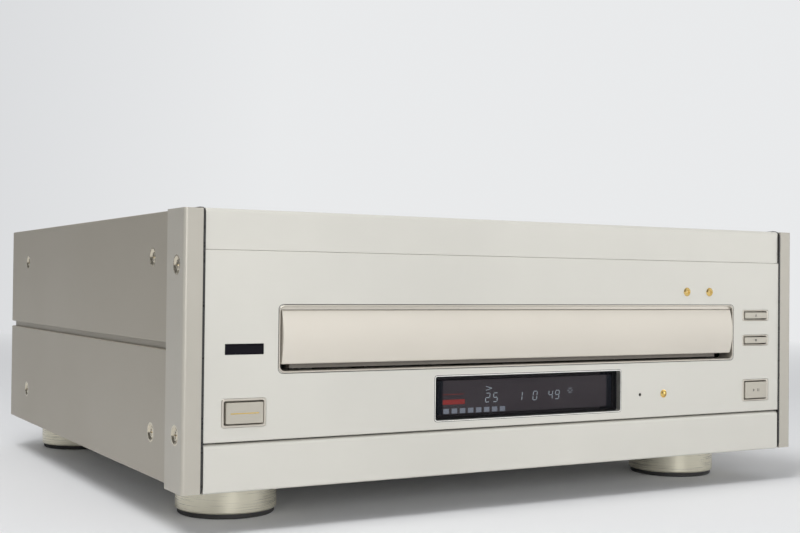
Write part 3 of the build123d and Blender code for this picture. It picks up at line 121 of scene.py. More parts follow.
class Finish(Graph):
    """A material built on one Principled shader, with its patterns on Object coordinates."""

    def __init__(self, name, **constants):
        self.material = bpy.data.materials.new(name)
        self.material.use_nodes = True
        super().__init__(self.material.node_tree)
        self.shader = self.tree.nodes["Principled BSDF"]
        for label, value in constants.items():
            self.shader.inputs[label.replace("_", " ")].default_value = value

    def place(self, stretch=(1, 1, 1)):
        """Object coordinates, stretched."""
        coordinates = self.add("ShaderNodeTexCoord", output="Object")
        return self.add("ShaderNodeMapping", {"vector_type": "POINT"}, Vector=coordinates, Scale=stretch)

    def axis(self, which):
        """One of the Object coordinates: 0, 1 or 2 for x, y or z."""
        coordinates = self.add("ShaderNodeTexCoord", output="Object")
        return self.add("ShaderNodeSeparateXYZ", None, coordinates, output=which)

    def noise(self, scale, detail=2.0, stretch=(1, 1, 1)):
        """A noise pattern; scale is in cells per metre."""
        return self.add("ShaderNodeTexNoise", {"noise_dimensions": "3D"}, Vector=self.place(stretch),
                        Scale=scale, Detail=detail, Roughness=0.55)

    def vary(self, pattern, low, high):
        """A number that follows a noise pattern, over the range where most of the noise lies."""
        return self.spread(pattern, 0.3, 0.7, low, high)

    def blend(self, pattern, first, second):
        """Two colours mixed by a noise pattern."""
        return self.mix(self.vary(pattern, 0.0, 1.0), first, second)

    def feed(self, label, value):
        """Link a value to one of the shader's sockets."""
        self.tree.links.new(value.link, self.shader.inputs[label])

    def bump(self, height, strength, distance):
        """Relief in the shading; the distance is in metres."""
        relief = self.add("ShaderNodeBump", None, Strength=strength, Distance=distance, Height=height)
        self.feed("Normal", relief)


def colour(rgb):
    """A colour with its alpha."""
    return (rgb[0], rgb[1], rgb[2], 1.0)


def shade(rgb, by):
    """A colour made lighter or darker."""
    return tuple(min(1.0, c * by) for c in rgb)


# ---------------------------------------------------------------- finishes
BACKDROP_LEFT = (0.700, 0.710, 0.725)
BACKDROP_RIGHT = (0.815, 0.825, 0.835)
PANEL_METAL = (0.620, 0.605, 0.552)
TRAY_METAL = (0.640, 0.598, 0.525)
POST_METAL = (0.455, 0.430, 0.375)
KEY_METAL = (0.470, 0.440, 0.375)
SIDE_LACQUER = (0.370, 0.338, 0.280)
FOOT_METAL = (0.700, 0.665, 0.540)
GOLD = (0.780, 0.560, 0.200)
INK = (0.110, 0.105, 0.095)
RIM_METAL = (0.950, 0.940, 0.890)
SCREW_METAL = (0.660, 0.600, 0.480)
ZINC_METAL = (0.560, 0.550, 0.520)
TURNED_METAL = (0.600, 0.600, 0.600)
SMOKE = (0.006, 0.006, 0.007), (0.009, 0.008, 0.010)
AMBER = (0.660, 0.480, 0.180), (0.800, 0.610, 0.260)
UNLIT = (0.020, 0.018, 0.016)
TUBE_GREY = (0.155, 0.132, 0.148), (0.190, 0.165, 0.182)
TUBE_END = (0.012, 0.018, 0.030)
FILTER_BLACK = (0.007, 0.006, 0.009)
EDGE_BLACK = (0.020, 0.019, 0.018)
PLASTIC_BLACK = (0.022, 0.022, 0.022)
PLASTIC_GREY = (0.060, 0.060, 0.060)
TRAY_PLASTIC = (0.235, 0.215, 0.190)
GEAR_WHITE = (0.700, 0.690, 0.650)
RUBBER_BLACK = (0.018, 0.018, 0.018), (0.035, 0.034, 0.032)
SOLDER_MASK = (0.020, 0.090, 0.035), (0.045, 0.170, 0.060)
TINNED = (0.550, 0.540, 0.500)
VARNISH = (0.050, 0.032, 0.022), (0.140, 0.100, 0.070)
HEAD_BLUE = (0.050, 0.060, 0.090)
GLOW_WHITE = (0.620, 0.700, 0.780)
GLOW_DIM = (0.380, 0.420, 0.500)
GLOW_RED = (0.460, 0.055, 0.050)


def satin_metal(name, rgb, rough, metal=0.30, streak=0.0, along=(1, 1, 1)):
    """Anodised metal: faint cloudiness, a bead-blasted grain and, if asked, long hairlines."""
    f = Finish(name, Metallic=metal)
    cloud = f.noise(9.0, 3.0)
    speck = f.noise(2600.0, 1.0)
    f.feed("Base Color", f.blend(cloud, shade(rgb, 0.97), shade(rgb, 1.03)))
    roughness = f.spread(speck, 0.25, 0.75, rough - 0.03, rough + 0.03) + f.vary(cloud, -0.03, 0.03)
    height = speck
    if streak:
        line = f.noise(60.0, 3.0, stretch=along)
        roughness = roughness + f.vary(line, -0.05, 0.05)
        height = height + line * streak
    f.feed("Roughness", roughness)
    f.bump(height, 0.12, 0.00005)
    return f.material


def turned_metal(name, rgb, rough, metal=0.85, ridge=0.25):
    """Lathe-turned metal: fine level lines round an upright piece."""
    f = Finish(name, Metallic=metal)
    line = f.noise(90.0, 2.0, stretch=(0.4, 0.4, 40.0))
    cloud = f.noise(14.0, 2.0)
    f.feed("Base Color", f.blend(line, shade(rgb, 0.93), shade(rgb, 1.05)))
    f.feed("Roughness", f.vary(line, rough - 0.06, rough + 0.06) + f.vary(cloud, -0.03, 0.03))
    f.bump(line, ridge, 0.00006)
    return f.material


def lacquer(name, rgb, rough):
    """Metallic lacquer over sheet or board: tiny flakes and a slight orange peel."""
    f = Finish(name, Metallic=0.35)
    flake = f.noise(3800.0, 0.0)
    peel = f.noise(420.0, 2.0)
    cloud = f.noise(6.0, 3.0)
    f.feed("Base Color", f.mix(f.spread(flake, 0.35, 0.65, 0.0, 1.0), shade(rgb, 0.94), shade(rgb, 1.05)))
    f.feed("Roughness", f.vary(cloud, rough - 0.04, rough + 0.05))
    f.bump(peel + flake * 0.5, 0.10, 0.00006)
    return f.material


def moulded(name, rgb, rough=0.55, texture=900.0, strength=0.25):
    """Moulded plastic with a spark-eroded texture."""
    f = Finish(name, Metallic=0.0)
    grain = f.noise(texture, 2.0)
    cloud = f.noise(12.0, 2.0)
    f.feed("Base Color", f.blend(cloud, shade(rgb, 0.92), shade(rgb, 1.06)))
    f.feed("Roughness", f.vary(grain, rough - 0.06, rough + 0.08))
    f.bump(grain, strength, 0.00008)
    return f.material


def gloss(name, rgb, rough=0.08, **constants):
    """Polished plastic with faint wiping marks."""
    f = Finish(name, Metallic=0.0, **constants)
    wipe = f.noise(30.0, 3.0, stretch=(1, 6, 6))
    f.feed("Base Color", f.blend(wipe, shade(rgb, 0.9), shade(rgb, 1.1)))
    f.feed("Roughness", f.vary(wipe, rough * 0.7, rough * 1.6))
    return f.material


def lamp_lens(name):
    """Small lamps: amber where the upper ones stand, unlit and dark where the lowest is."""
    f = Finish(name, Metallic=0.0)
    low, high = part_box("lamp_lenses")
    mottle = f.noise(1800.0, 2.0)
    lowest = f.axis(2).below((low.z + high.z) / 2)
    f.feed("Base Color", f.mix(lowest, f.blend(mottle, *AMBER), UNLIT))
    f.feed("Roughness", f.vary(mottle, 0.10, 0.18))
    return f.material


def polished(name, rgb, rough=0.16):
    """Polished plated metal with faint handling marks."""
    f = Finish(name, Metallic=1.0)
    mark = f.noise(700.0, 3.0)
    f.feed("Base Color", f.mix(f.spread(mark, 0.35, 0.65, 0.0, 1.0), shade(rgb, 0.9), shade(rgb, 1.06)))
    f.feed("Roughness", f.vary(mark, rough * 0.8, rough * 1.4))
    return f.material


def zinc_sheet(name):
    """Zinc-plated sheet: a soft patchy spangle and rolling lines."""
    f = Finish(name, Metallic=0.9)
    spangle = f.noise(55.0, 2.0)
    rolled = f.noise(80.0, 2.0, stretch=(1, 20, 20))
    patches = f.spread(spangle, 0.35, 0.65, 0.0, 1.0)
    f.feed("Base Color", f.mix(patches, shade(ZINC_METAL, 0.9), shade(ZINC_METAL, 1.07)))
    f.feed("Roughness", f.vary(spangle, 0.32, 0.46) + f.vary(rolled, -0.03, 0.03))
    f.bump(rolled, 0.12, 0.00008)
    return f.material


def rubber(name):
    """Matt black rubber with a fine grain."""
    f = Finish(name, Metallic=0.0)
    grain = f.noise(1500.0, 2.0)
    f.feed("Base Color", f.blend(grain, *RUBBER_BLACK))
    f.feed("Roughness", f.vary(grain, 0.62, 0.82))
    f.bump(grain, 0.3, 0.0001)
    return f.material


def smoked(name):
    """Smoked window: a dark see-through sheet with a hard surface."""
    f = Finish(name, Metallic=0.0, Specular_IOR_Level=0.10)
    wipe = f.noise(25.0, 3.0, stretch=(1, 4, 4))
    f.feed("Base Color", f.blend(wipe, *SMOKE))
    f.feed("Roughness", f.vary(wipe, 0.08, 0.14))
    f.feed("Alpha", f.vary(wipe, 0.29, 0.33))
    return f.material


def display_face(name):
    """Face of the display tube: grey-violet middle, blue-black ends and fine filament lines."""
    f = Finish(name, Metallic=0.0, Specular_IOR_Level=0.2)
    low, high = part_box("display_module")
    middle = (low.x + high.x) / 2
    half_width = (high.x - low.x) / 2
    across = f.add("ShaderNodeMath", {"operation": "ABSOLUTE"}, f.axis(0) - middle)
    ends = f.spread(across, half_width * 0.84, half_width * 0.86, 0.0, 1.0)
    wires = f.add("ShaderNodeMath", {"operation": "SINE"}, f.axis(2) * 4200.0)
    tone = f.mix(f.spread(wires, 0.6, 1.0, 0.0, 0.35), *TUBE_GREY)
    f.feed("Base Color", f.mix(ends, tone, TUBE_END))
    f.feed("Roughness", f.vary(f.noise(40.0), 0.30, 0.45))
    return f.material


def lit(name, rgb, strength):
    """A lit segment."""
    f = Finish(name, Metallic=0.0, Emission_Strength=strength)
    glow = f.noise(900.0, 1.0)
    f.feed("Base Color", f.blend(glow, shade(rgb, 0.85), rgb))
    f.feed("Emission Color", f.blend(glow, shade(rgb, 0.85), rgb))
    f.feed("Roughness", f.vary(glow, 0.4, 0.5))
    return f.material


def ink(name, rgb):
    """Screen-printed mark, with slightly uneven cover."""
    f = Finish(name, Metallic=0.0)
    cover = f.noise(2500.0, 2.0)
    f.feed("Base Color", f.blend(cover, rgb, shade(rgb, 1.5)))
    f.feed("Roughness", f.vary(cover, 0.5, 0.62))
    return f.material


def circuit_board(name):
    """Green board: solder mask over copper tracks, with tinned pads."""
    f = Finish(name)
    track = f.add("ShaderNodeTexBrick", {"offset": 0.5}, Vector=f.place(), Scale=220.0, Mortar_Size=0.06,
                  Color1=(0, 0, 0, 1), Color2=(0, 0, 0, 1), Mortar=(1, 1, 1, 1))
    pad = f.add("ShaderNodeTexVoronoi", {"feature": "F1"}, Vector=f.place(), Scale=170.0)
    f.feed("Base Color", f.mix(pad.below(0.16), f.mix(track, *SOLDER_MASK), TINNED))
    f.feed("Metallic", f.spread(pad, 0.15, 0.17, 0.8, 0.0))
    f.feed("Roughness", f.spread(pad, 0.15, 0.17, 0.35, 0.30))
    f.bump(track, 0.3, 0.0001)
    return f.material


def laminations(name):
    """Transformer core: stacked laminations under brown varnish."""
    f = Finish(name, Metallic=0.4)
    stack = f.add("ShaderNodeMath", {"operation": "SINE"}, f.axis(2) * 9000.0)
    f.feed("Base Color", f.mix(f.spread(stack, -1.0, 1.0, 0.0, 1.0), *VARNISH))
    f.feed("Roughness", f.spread(stack, -1.0, 1.0, 0.35, 0.55))
    f.bump(stack, 0.3, 0.0002)
    return f.material


FRONT = satin_metal("champagne_panel", PANEL_METAL, 0.42, streak=0.6, along=(1, 60, 60))
WARM = satin_metal("tray_front_metal", TRAY_METAL, 0.50, 0.15, streak=0.6, along=(1, 60, 60))
POST = satin_metal("post_metal", POST_METAL, 0.40, streak=0.5, along=(60, 60, 1))
SIDE = lacquer("side_lacquer", SIDE_LACQUER, 0.42)
COVER = lacquer("cover_lacquer", shade(SIDE_LACQUER, 1.04), 0.45)
BEZEL = satin_metal("bezel_metal", shade(TRAY_METAL, 0.92), 0.32, 0.7)
KEY = satin_metal("key_metal", KEY_METAL, 0.34)
RIM = satin_metal("rim_metal", RIM_METAL, 0.30)
FEET = turned_metal("foot_metal", FOOT_METAL, 0.30, 0.6, 0.10)
BRASS = polished("gold_plate", GOLD)
SCREW = polished("screw_plate", SCREW_METAL, 0.22)
LENS = lamp_lens("lamp_amber")
SMOKED = smoked("smoked_window")
TUBE = display_face("display_tube")
FILTER = gloss("infrared_filter", FILTER_BLACK, 0.25, Specular_IOR_Level=0.08)
EDGE = gloss("edge_black", EDGE_BLACK, 0.28)
BLACK = moulded("black_moulding", PLASTIC_BLACK)
DARK = moulded("dark_grey_moulding", PLASTIC_GREY)
TRAY = moulded("tray_moulding", TRAY_PLASTIC, 0.5, 1100.0, 0.2)
ACETAL = moulded("white_acetal", GEAR_WHITE, 0.4, 600.0, 0.1)
ZINC = zinc_sheet("zinc_sheet")
MACHINED = turned_metal("machined_metal", TURNED_METAL, 0.28)
RUBBER = rubber("rubber")
BOARD = circuit_board("circuit_board")
CORE = laminations("transformer_core")
PICKUP = gloss("pickup_head", HEAD_BLUE, 0.15)
INK_DARK = ink("printed_mark", INK)
GLYPH = lit("segment_white", GLOW_WHITE, 0.75)
GLYPH_DIM = lit("segment_dim", GLOW_DIM, 0.45)
GLYPH_RED = lit("segment_red", GLOW_RED, 0.5)

FINISH_OF = {
    "front_panel": FRONT, "top_band": FRONT, "door": FRONT, "tray_front": WARM, "corner_posts": POST,
    "side_panel_left": SIDE, "side_panel_right": SIDE, "top_cover": COVER, "edge_plates": EDGE,
    "tray_opening_trim": BEZEL, "key_bezels": BEZEL, "power_key": KEY, "open_key": KEY, "stop_key": KEY,
    "play_key": KEY, "lens_key": BRASS, "lamp_rings": BRASS, "lamp_lenses": LENS, "display_window": SMOKED,
    "display_module": TUBE, "sensor_window": FILTER, "feet": FEET, "foot_rings": RUBBER,
    "cup_washers": SCREW, "screws": SCREW, "rear_jacks": BRASS, "phone_socket": BRASS, "tray": TRAY,
    "tray_rails": DARK, "turning_guides": DARK, "clamp_holder": DARK, "clamper": DARK, "loading_belt": RUBBER,
    "turntable": MACHINED, "carriage": MACHINED, "pickup": PICKUP, "transformer": CORE,
}
for name in ("front_frame", "control_strip", "level_knob", "ac_inlet", "small_key_1", "small_key_2",
             "small_key_3", "small_key_4"):
    FINISH_OF[name] = BLACK
for name in ("tray_gear", "idler_gear", "motor_pulley", "lift_cam", "carriage_gear"):
    FINISH_OF[name] = ACETAL
for name in ("chassis_pan", "rear_panel", "mech_base", "loading_motor", "spindle_motor", "clamp_bridge",
             "door_hinge_pins"):
    FINISH_OF[name] = ZINC
for name in ("key_boards", "main_board", "power_board"):
    FINISH_OF[name] = BOARD

for name, node in nodes.items():
    node.data.materials.clear()
    node.data.materials.append(FINISH_OF[name])


# ---------------------------------------------------------------- modelling helpers
def start_clean():
    """Object mode with nothing selected."""
    if bpy.context.object and bpy.context.object.mode != "OBJECT":
        bpy.ops.object.mode_set(mode="OBJECT")
    bpy.ops.object.select_all(action="DESELECT")


def only(piece):
    """Select one piece alone and make it active."""
    start_clean()
    piece.select_set(True)
    bpy.context.view_layer.objects.active = piece


def settle(piece, name, material):
    """Put a piece's place into its mesh, name it and give it its finish."""
    only(piece)
    bpy.ops.object.transform_apply(location=True, rotation=True, scale=True)
    piece.name = name
    piece.data.name = name
    piece.data.materials.clear()
    piece.data.materials.append(material)
    return piece


def block(name, low, high, material):
    """A box between two corners."""
    start_clean()
    bpy.ops.mesh.primitive_cube_add(size=1, location=[(a + b) / 2 for a, b in zip(low, high)])
    piece = bpy.context.object
    piece.scale = [b - a for a, b in zip(low, high)]
    return settle(piece, name, material)


def pick_faces(piece, test):
    """In edit mode, select the faces whose centre and normal pass the test."""
    only(piece)
    bpy.ops.object.mode_set(mode="EDIT")
    bpy.ops.mesh.select_mode(type="FACE")
    bpy.ops.mesh.select_all(action="DESELECT")
    mesh = bmesh.from_edit_mesh(piece.data)
    for face in mesh.faces:
        face.select_set(bool(test(face.calc_center_median(), face.normal)))
    bmesh.update_edit_mesh(piece.data)


def leave_edit():
    """Back to object mode."""
    bpy.ops.object.mode_set(mode="OBJECT")


def joined(pieces, name):
    """Several pieces made one mesh."""
    start_clean()
    for piece in pieces:
        piece.select_set(True)
    bpy.context.view_layer.objects.active = pieces[0]
    bpy.ops.object.join()
    pieces[0].name = name
    pieces[0].data.name = name
    return pieces[0]


def number(text, name, at, height, half_depth, material):
    """Plain figures standing on the front, as a mesh. at is their middle."""
    start_clean()
    bpy.ops.object.text_add()
    words = bpy.context.object
    words.data.body = text
    words.data.size = height
    words.data.align_x = "CENTER"
    words.data.align_y = "CENTER"
    words.data.extrude = half_depth
    bpy.ops.object.convert(target="MESH")
    words = bpy.context.object
    words.rotation_euler = (math.pi / 2, 0, 0)
    words.location = at
    return settle(words, name, material)


# ---------------------------------------------------------------- display
LEAN = 0.12              # of the height
BARS_OF = {"0": "abcdef", "1": "bc", "2": "abged", "4": "fgbc", "5": "afgcd", "9": "abcdfg"}
BAR_W = 0.42             # millimetres
BAR_T = 0.1
BAR_L = 0.70             # of the figure's width
UPRIGHT_L = 0.69         # of half the figure's height
BAR_END = 0.12           # width left at a bar's points, of the bar's own


def bar(name, centre, length, width, turn, material):
    """One bar of a figure, with pointed ends, turned in the plane of the display."""
    start_clean()
    bpy.ops.mesh.primitive_cube_add(size=1)
    piece = bpy.context.object
    piece.scale = (length, BAR_T * MM, width)
    settle(piece, name, material)
    pick_faces(piece, lambda middle, normal: abs(normal.x) > 0.9)
    bpy.ops.mesh.extrude_region_shrink_fatten(TRANSFORM_OT_shrink_fatten={"value": width * 0.5})
    bpy.ops.transform.resize(value=(1, 1, BAR_END), center_override=(0, 0, 0))
    leave_edit()
    piece.rotation_euler = (0, turn, 0)
    piece.location = centre
    return settle(piece, name, material)


def figure(digit, name, at, width, height, material):
    """A seven-bar figure about its middle, leaning to the right."""
    x, y, z = at
    w = width / 2
    h = height / 2
    upright = math.atan(LEAN) - math.pi / 2
    spots = {
        "a": (0, h, 0.0), "g": (0, 0, 0.0), "d": (0, -h, 0.0),
        "b": (w, h / 2, upright), "c": (w, -h / 2, upright),
        "f": (-w, h / 2, upright), "e": (-w, -h / 2, upright),
    }
    pieces = []
    for letter in BARS_OF[digit]:
        across, up, turn = spots[letter]
        length = UPRIGHT_L * h if turn else BAR_L * width
        centre = (x + across + LEAN * up, y, z + up)
        pieces.append(bar(name + letter, centre, length, BAR_W * MM, turn, material))
    return pieces


# millimetres: across from the tube's left end, up from its middle
BEFORE_TUBE = 0.12       # from the tube's face to what is lit
FIGURE_PLACES = (("2", 43.3), ("5", 49.0), ("1", 67.6), ("0", 79.0), ("4", 91.1), ("9", 96.3))
FIGURE_UP = -1.1
FIGURE_SIZE = (2.9, 5.4)
ARROW_AT = (44.1, 4.6)
ARROW_L = 4.4
ARROW_SPREAD = 0.62      # half the distance between the middles of its two bars
ARROW_TURN = 0.27        # radians
STAR_AT = (106.5, 1.2)
STAR_R = 1.5             # to the middles of its rays
RAY_L = 0.9
RAYS = 6
THIN = 0.3               # width of the arrow's bars and the rays
SQUARES = 8
SQUARE_AT = (13.4, -8.3)  # the first one
SQUARE_PITCH = 5.85
SQUARE_SIZE = (3.8, 3.0)
SQUARE_LINE = 0.22
NUMBER_H = 2.2
NUMBER_HALF_T = 0.04     # half the thickness
LABEL_LEFT = 11.0
LABEL_BARS = ((-4.3, -1.4, 26.6), (1.6, 1.9, 25.6))   # lower edge, upper edge, right end
MARK_T = 0.1             # thickness of the squares and bars


def on_tube(across, up):
    """A place just before the display tube, from its left end and its middle in millimetres."""
    low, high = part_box("display_module")
    return low.x + across * MM, low.y - BEFORE_TUBE * MM, (low.z + high.z) / 2 + up * MM


def lit_figures():
    """Six figures, an arrow over the first two and a small star."""
    pieces = []
    width, height = FIGURE_SIZE
    for count, (digit, across) in enumerate(FIGURE_PLACES):
        at = on_tube(across, FIGURE_UP)
        pieces += figure(digit, "figure%d" % count, at, width * MM, height * MM, GLYPH)
    for side in (-1, 1):
        at = on_tube(ARROW_AT[0], ARROW_AT[1] + side * ARROW_SPREAD)
        pieces.append(bar("arrow", at, ARROW_L * MM, THIN * MM, side * ARROW_TURN, GLYPH))
    for count in range(RAYS):
        angle = count * 2 * math.pi / RAYS
        at = on_tube(STAR_AT[0] + STAR_R * math.cos(angle), STAR_AT[1] + STAR_R * math.sin(angle))
        pieces.append(bar("ray", at, RAY_L * MM, THIN * MM, -angle, GLYPH))
    figures = joined(pieces, "display_figures")
    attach(figures, "player")


def number_row():
    """A row of outlined squares with plain numbers."""
    pieces = []
    half_w, half_h = [size / 2 * MM for size in SQUARE_SIZE]
    for count in range(SQUARES):
        x, y, z = on_tube(SQUARE_AT[0] + count * SQUARE_PITCH, SQUARE_AT[1])
        low = (x - half_w, y, z - half_h)
        ring = block("square", low, (x + half_w, y + MARK_T * MM, z + half_h), GLYPH_DIM)
        pick_faces(ring, lambda middle, normal: normal.y < -0.9)
        bpy.ops.mesh.inset(thickness=SQUARE_LINE * MM, depth=0)
        bpy.ops.mesh.delete(type="FACE")
        leave_edit()
        pieces.append(ring)
        pieces.append(number(str(count + 1), "count", (x, y, z), NUMBER_H * MM, NUMBER_HALF_T * MM,
                             GLYPH_DIM))
    row = joined(pieces, "display_numbers")
    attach(row, "player")


def red_label():
    """A red bar with a fine line above it."""
    pieces = []
    for lower, upper, right in LABEL_BARS:
        low = on_tube(LABEL_LEFT, lower)
        high = on_tube(right, upper)
        pieces.append(block("label", low, (high[0], high[1] + MARK_T * MM, high[2]), GLYPH_RED))
    label = joined(pieces, "display_label")
    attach(label, "player")


lit_figures()
number_row()
red_label()


# ---------------------------------------------------------------- signs, edges and painted shade rings on the front
# millimetres, as in the section above
SIGN_T = 0.06                   # thickness of a printed sign
SIGN_OUT = 0.01                 # from a key's face to the middle of its sign
OPEN_ARROW = (0.25, 0.95)       # height over the key's middle, radius
OPEN_BAR = (-0.82, 1.8, 0.35)   # height over the key's middle, width, height
STOP_SQUARE = 1.6
PLAY_ARROW = (-2.2, 1.2)        # across from the key's middle, radius
PAUSE_BARS = (1.6, 2.9)         # across from the key's middle
PAUSE_BAR = (0.6, 2.0)          # width, height
WINDOW_ROUND = 1.2
WINDOW_RIM = (0.45, 0.5)        # width, depth
WINDOW_SHADE_RING = (0.80, 0.4)        # width from the window to the outer edge of the dark ring painted as the shade of a gap, depth
SHADE_RING_BEHIND = 0.08               # from the rim's face to the painted shade ring's face
MOUTH_ROUND = 2.6
MOUTH_SHADE_RING = (0.30, 0.3)        # width, depth of the dark ring painted as the shade of a gap
MOUTH_SHADE_RING_OUT = 0.02           # before the front panel's face
KEY_STRIP_L = 16.4
KEY_STRIP_SUNK = (0.12, 0.29)   # its face and back, behind the key's face
KEY_STRIP_Z = (-0.5, 0.1)       # its edges, from the key's middle


def arrow(name, at, size, material, turn):
    """A solid triangle mark that points up, or turned about the front's axis."""
    start_clean()
    bpy.ops.mesh.primitive_cylinder_add(vertices=3, radius=size, depth=SIGN_T * MM)
    piece = bpy.context.object
    piece.rotation_euler = (math.pi / 2, turn, 0)
    piece.location = at
    return settle(piece, name, material)


def flat_mark(name, x, y, z, width, height, material):
    """A thin flat mark about its middle, in millimetres of width and height."""
    w = width / 2 * MM
    h = height / 2 * MM
    t = SIGN_T / 2 * MM
    return block(name, (x - w, y - t, z - h), (x + w, y + t, z + h), material)


def middle_of(key):
    """Middle of a key's face, a hair in front of it."""
    low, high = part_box(key)
    return (low.x + high.x) / 2, low.y - SIGN_OUT * MM, (low.z + high.z) / 2


def rim(name, low, high, corner, size, material):
    """A thin round-cornered frame on the front, just outside an opening. size is its width and depth."""
    width, depth = [length * MM for length in size]
    start_clean()
    middle = ((low.x + high.x) / 2, low.y, (low.z + high.z) / 2)
    bpy.ops.mesh.primitive_plane_add(size=1, location=middle)
    piece = bpy.context.object
    piece.rotation_euler = (math.pi / 2, 0, 0)
    piece.scale = (high.x - low.x + 2 * width, high.z - low.z + 2 * width, 1)
    settle(piece, name, material)
    bpy.ops.object.mode_set(mode="EDIT")
    bpy.ops.mesh.select_all(action="SELECT")
    bpy.ops.mesh.bevel(affect="VERTICES", offset=corner + width, segments=6)
    bpy.ops.mesh.select_mode(type="FACE")
    bpy.ops.mesh.select_all(action="SELECT")
    bpy.ops.mesh.inset(thickness=width, depth=0)
    bpy.ops.mesh.delete(type="FACE")
    leave_edit()
    thick = piece.modifiers.new("thick", "SOLIDIFY")
    thick.thickness = depth
    thick.offset = -1.0
    bpy.ops.object.modifier_apply(modifier="thick")
    return piece


def window_rim():
    """Bright edge round the display window, set in a dark ring of painted shade where a fine gap would be."""
    low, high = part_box("display_window")
    edge = rim("window_rim", low, high, WINDOW_ROUND * MM, WINDOW_RIM, RIM)
    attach(edge, "player")
    behind = Vector((0, SHADE_RING_BEHIND * MM, 0))
    low = low + behind
    high = high + behind
    # dark ring behind the rim: painted shade of a fine gap round the window
    shade_ring = rim("window_shade_ring", low, high, WINDOW_ROUND * MM, WINDOW_SHADE_RING, EDGE)
    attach(shade_ring, "player")


def mouth_shade_ring():
    """Dark ring of painted shade round the lining of the tray opening, where a fine gap would be."""
    low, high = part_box("tray_opening_trim")
    flange = Vector((LINING_FLANGE, 0, LINING_FLANGE))
    to_face = Vector((0, FACE_Y - low.y - MOUTH_SHADE_RING_OUT * MM, 0))
    low = low + to_face + flange
    high = high + to_face - flange
    # dark ring just before the panel's face: painted shade of a fine gap round the lining
    shade_ring = rim("mouth_shade_ring", low, high, MOUTH_ROUND * MM, MOUTH_SHADE_RING, EDGE)
    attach(shade_ring, "player")


def power_strip():
    """Gold strip in the power key's groove."""
    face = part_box("power_key")[0].y
    x, _, z = middle_of("power_key")
    half_length = KEY_STRIP_L / 2 * MM
    low = (x - half_length, face + KEY_STRIP_SUNK[0] * MM, z + KEY_STRIP_Z[0] * MM)
    high = (x + half_length, face + KEY_STRIP_SUNK[1] * MM, z + KEY_STRIP_Z[1] * MM)
    strip = block("power_strip", low, high, BRASS)
    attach(strip, "power_key")


def key_marks():
    """Plain signs on the keys: a triangle over a bar, a square, and a triangle with two bars."""
    x, y, z = middle_of("open_key")
    up, radius = OPEN_ARROW
    marks = [arrow("sign", (x, y, z + up * MM), radius * MM, INK_DARK, 0.0)]
    up, width, height = OPEN_BAR
    marks.append(flat_mark("sign_bar", x, y, z + up * MM, width, height, INK_DARK))
    signs = [(joined(marks, "open_sign"), "open_key")]
    x, y, z = middle_of("stop_key")
    square = flat_mark("stop_sign", x, y, z, STOP_SQUARE, STOP_SQUARE, INK_DARK)
    signs.append((square, "stop_key"))
    x, y, z = middle_of("play_key")
    across, radius = PLAY_ARROW
    marks = [arrow("sign", (x + across * MM, y, z), radius * MM, INK_DARK, math.pi / 2)]
    for across in PAUSE_BARS:
        marks.append(flat_mark("sign_bar", x + across * MM, y, z, *PAUSE_BAR, INK_DARK))
    signs.append((joined(marks, "play_sign"), "play_key"))
    for sign, key in signs:
        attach(sign, key)


window_rim()
mouth_shade_ring()
power_strip()
key_marks()


# ---------------------------------------------------------------- camera, floor, light
CAMERA_AT = Vector((-0.4470, FACE_Y - 0.6136, 0.1363))
CAMERA_YAW = math.radians(29.84)
CAMERA_PITCH = math.radians(0.81)
CAMERA_ROLL = math.radians(0.62)
FOCAL_SHARE = 1212.5 / 800    # of the picture's width
FLOOR_LIT = 0.8          # metres from the middle: the floor is a lit surface up to here
FLOOR_FADED = 2.4        # and has the colour of the surroundings from here
AMBIENT = 0.62           # strength of the even light from all round
DARK_SIDE = 0.20         # brightness of the room's left side in reflections


def camera():
    """Camera at the photograph's place and angle."""
    data = bpy.data.cameras.new("camera")
    data.sensor_width = 36.0
    data.lens = FOCAL_SHARE * data.sensor_width
    data.clip_start = 0.02
    data.clip_end = 30.0
    eye = bpy.data.objects.new("camera", data)
    bpy.context.scene.collection.objects.link(eye)
    flat = math.cos(CAMERA_PITCH)
    ahead = Vector((math.sin(CAMERA_YAW) * flat, math.cos(CAMERA_YAW) * flat, math.sin(CAMERA_PITCH)))
    level = Vector((math.cos(CAMERA_YAW), -math.sin(CAMERA_YAW), 0))
    above = level.cross(ahead)
    right = level * math.cos(CAMERA_ROLL) + above * math.sin(CAMERA_ROLL)
    up = -level * math.sin(CAMERA_ROLL) + above * math.cos(CAMERA_ROLL)
    turn = Matrix((right, up, -ahead)).transposed().to_4x4()
    eye.matrix_world = Matrix.Translation(CAMERA_AT) @ turn
    bpy.context.scene.camera = eye


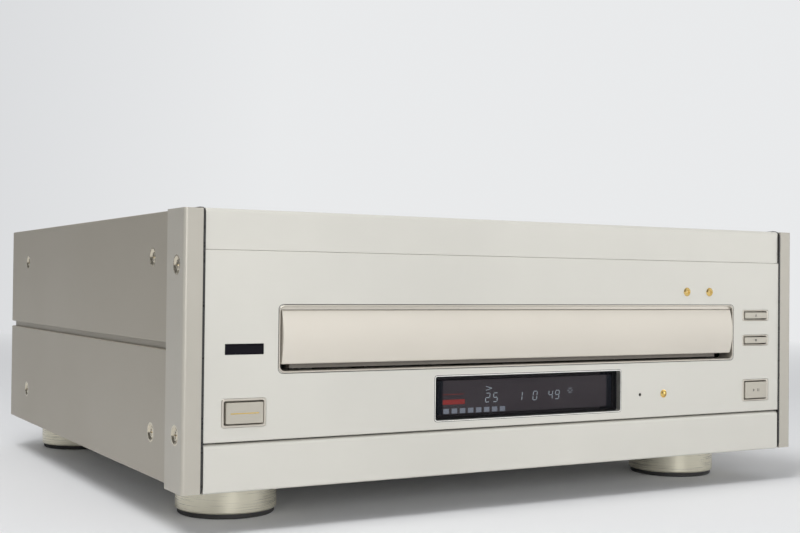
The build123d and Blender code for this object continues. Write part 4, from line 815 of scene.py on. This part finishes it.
def floor():
    """Pale floor: lit as a matt surface near the machine, further off the colour of the surroundings."""
    start_clean()
    bpy.ops.mesh.primitive_plane_add(size=40)
    f = Finish("floor_pale", Base_Color=(0.800, 0.805, 0.815, 1), Roughness=0.7, Specular_IOR_Level=0.2)
    distance = f.add("ShaderNodeVectorMath", {"operation": "LENGTH"}, f.place(), output="Value")
    far = f.spread(distance, FLOOR_LIT, FLOOR_FADED, 0.0, 1.0)
    incoming = f.add("ShaderNodeNewGeometry", output="Incoming")
    towards = f.add("ShaderNodeSeparateXYZ", None, incoming, output=0)
    glow = f.add("ShaderNodeEmission", None, f.backdrop(-towards), 1.0)
    lit_part = Socket(f, f.shader.outputs[0])
    total = f.add("ShaderNodeMixShader", None, far * f.seen(), lit_part, glow)
    f.tree.links.new(total.link, f.tree.nodes["Material Output"].inputs["Surface"])
    settle(bpy.context.object, "floor", f.material)


def area(name, at, aim, size, power):
    """A soft rectangular lamp that points at a place."""
    data = bpy.data.lights.new(name, "AREA")
    data.shape = "RECTANGLE"
    data.size = size[0]
    data.size_y = size[1]
    data.energy = power
    lamp = bpy.data.objects.new(name, data)
    bpy.context.scene.collection.objects.link(lamp)
    lamp.location = at
    lamp.rotation_euler = (Vector(aim) - Vector(at)).to_track_quat("-Z", "Y").to_euler()
    lamp.visible_camera = False


def surroundings(lighting):
    """Pale surroundings where they are seen, darker on the left in reflections, and an even light."""
    world = bpy.data.worlds.new("studio")
    bpy.context.scene.world = world
    world.use_nodes = True
    g = Graph(world.node_tree)
    direction = g.add("ShaderNodeTexCoord", output="Generated")
    towards = g.add("ShaderNodeSeparateXYZ", None, direction, output=0)
    glossy = g.add("ShaderNodeLightPath", output="Is Glossy Ray")
    dimmed = (1.0 - glossy).larger(g.spread(towards, -0.5, 0.2, DARK_SIDE, 1.0))
    strength = g.spread(g.seen(), 0.0, 1.0, lighting, 1.0) * dimmed
    back = world.node_tree.nodes["Background"]
    for label, value in (("Color", g.backdrop(towards)), ("Strength", strength)):
        world.node_tree.links.new(value.link, back.inputs[label])


camera()
floor()
surroundings(AMBIENT)
area("front_light", (-0.8, -3.0, 0.8), (0, 0, 0.08), (1.2, 1.2), 34)
area("right_light", (3.0, -2.8, 0.6), (0, 0, 0.08), (1.6, 1.2), 9)
area("top_light", (-0.8, -0.45, 2.1), (0, 0, 0), (1.0, 1.0), 25)
bpy.context.scene.view_settings.view_transform = "Standard"
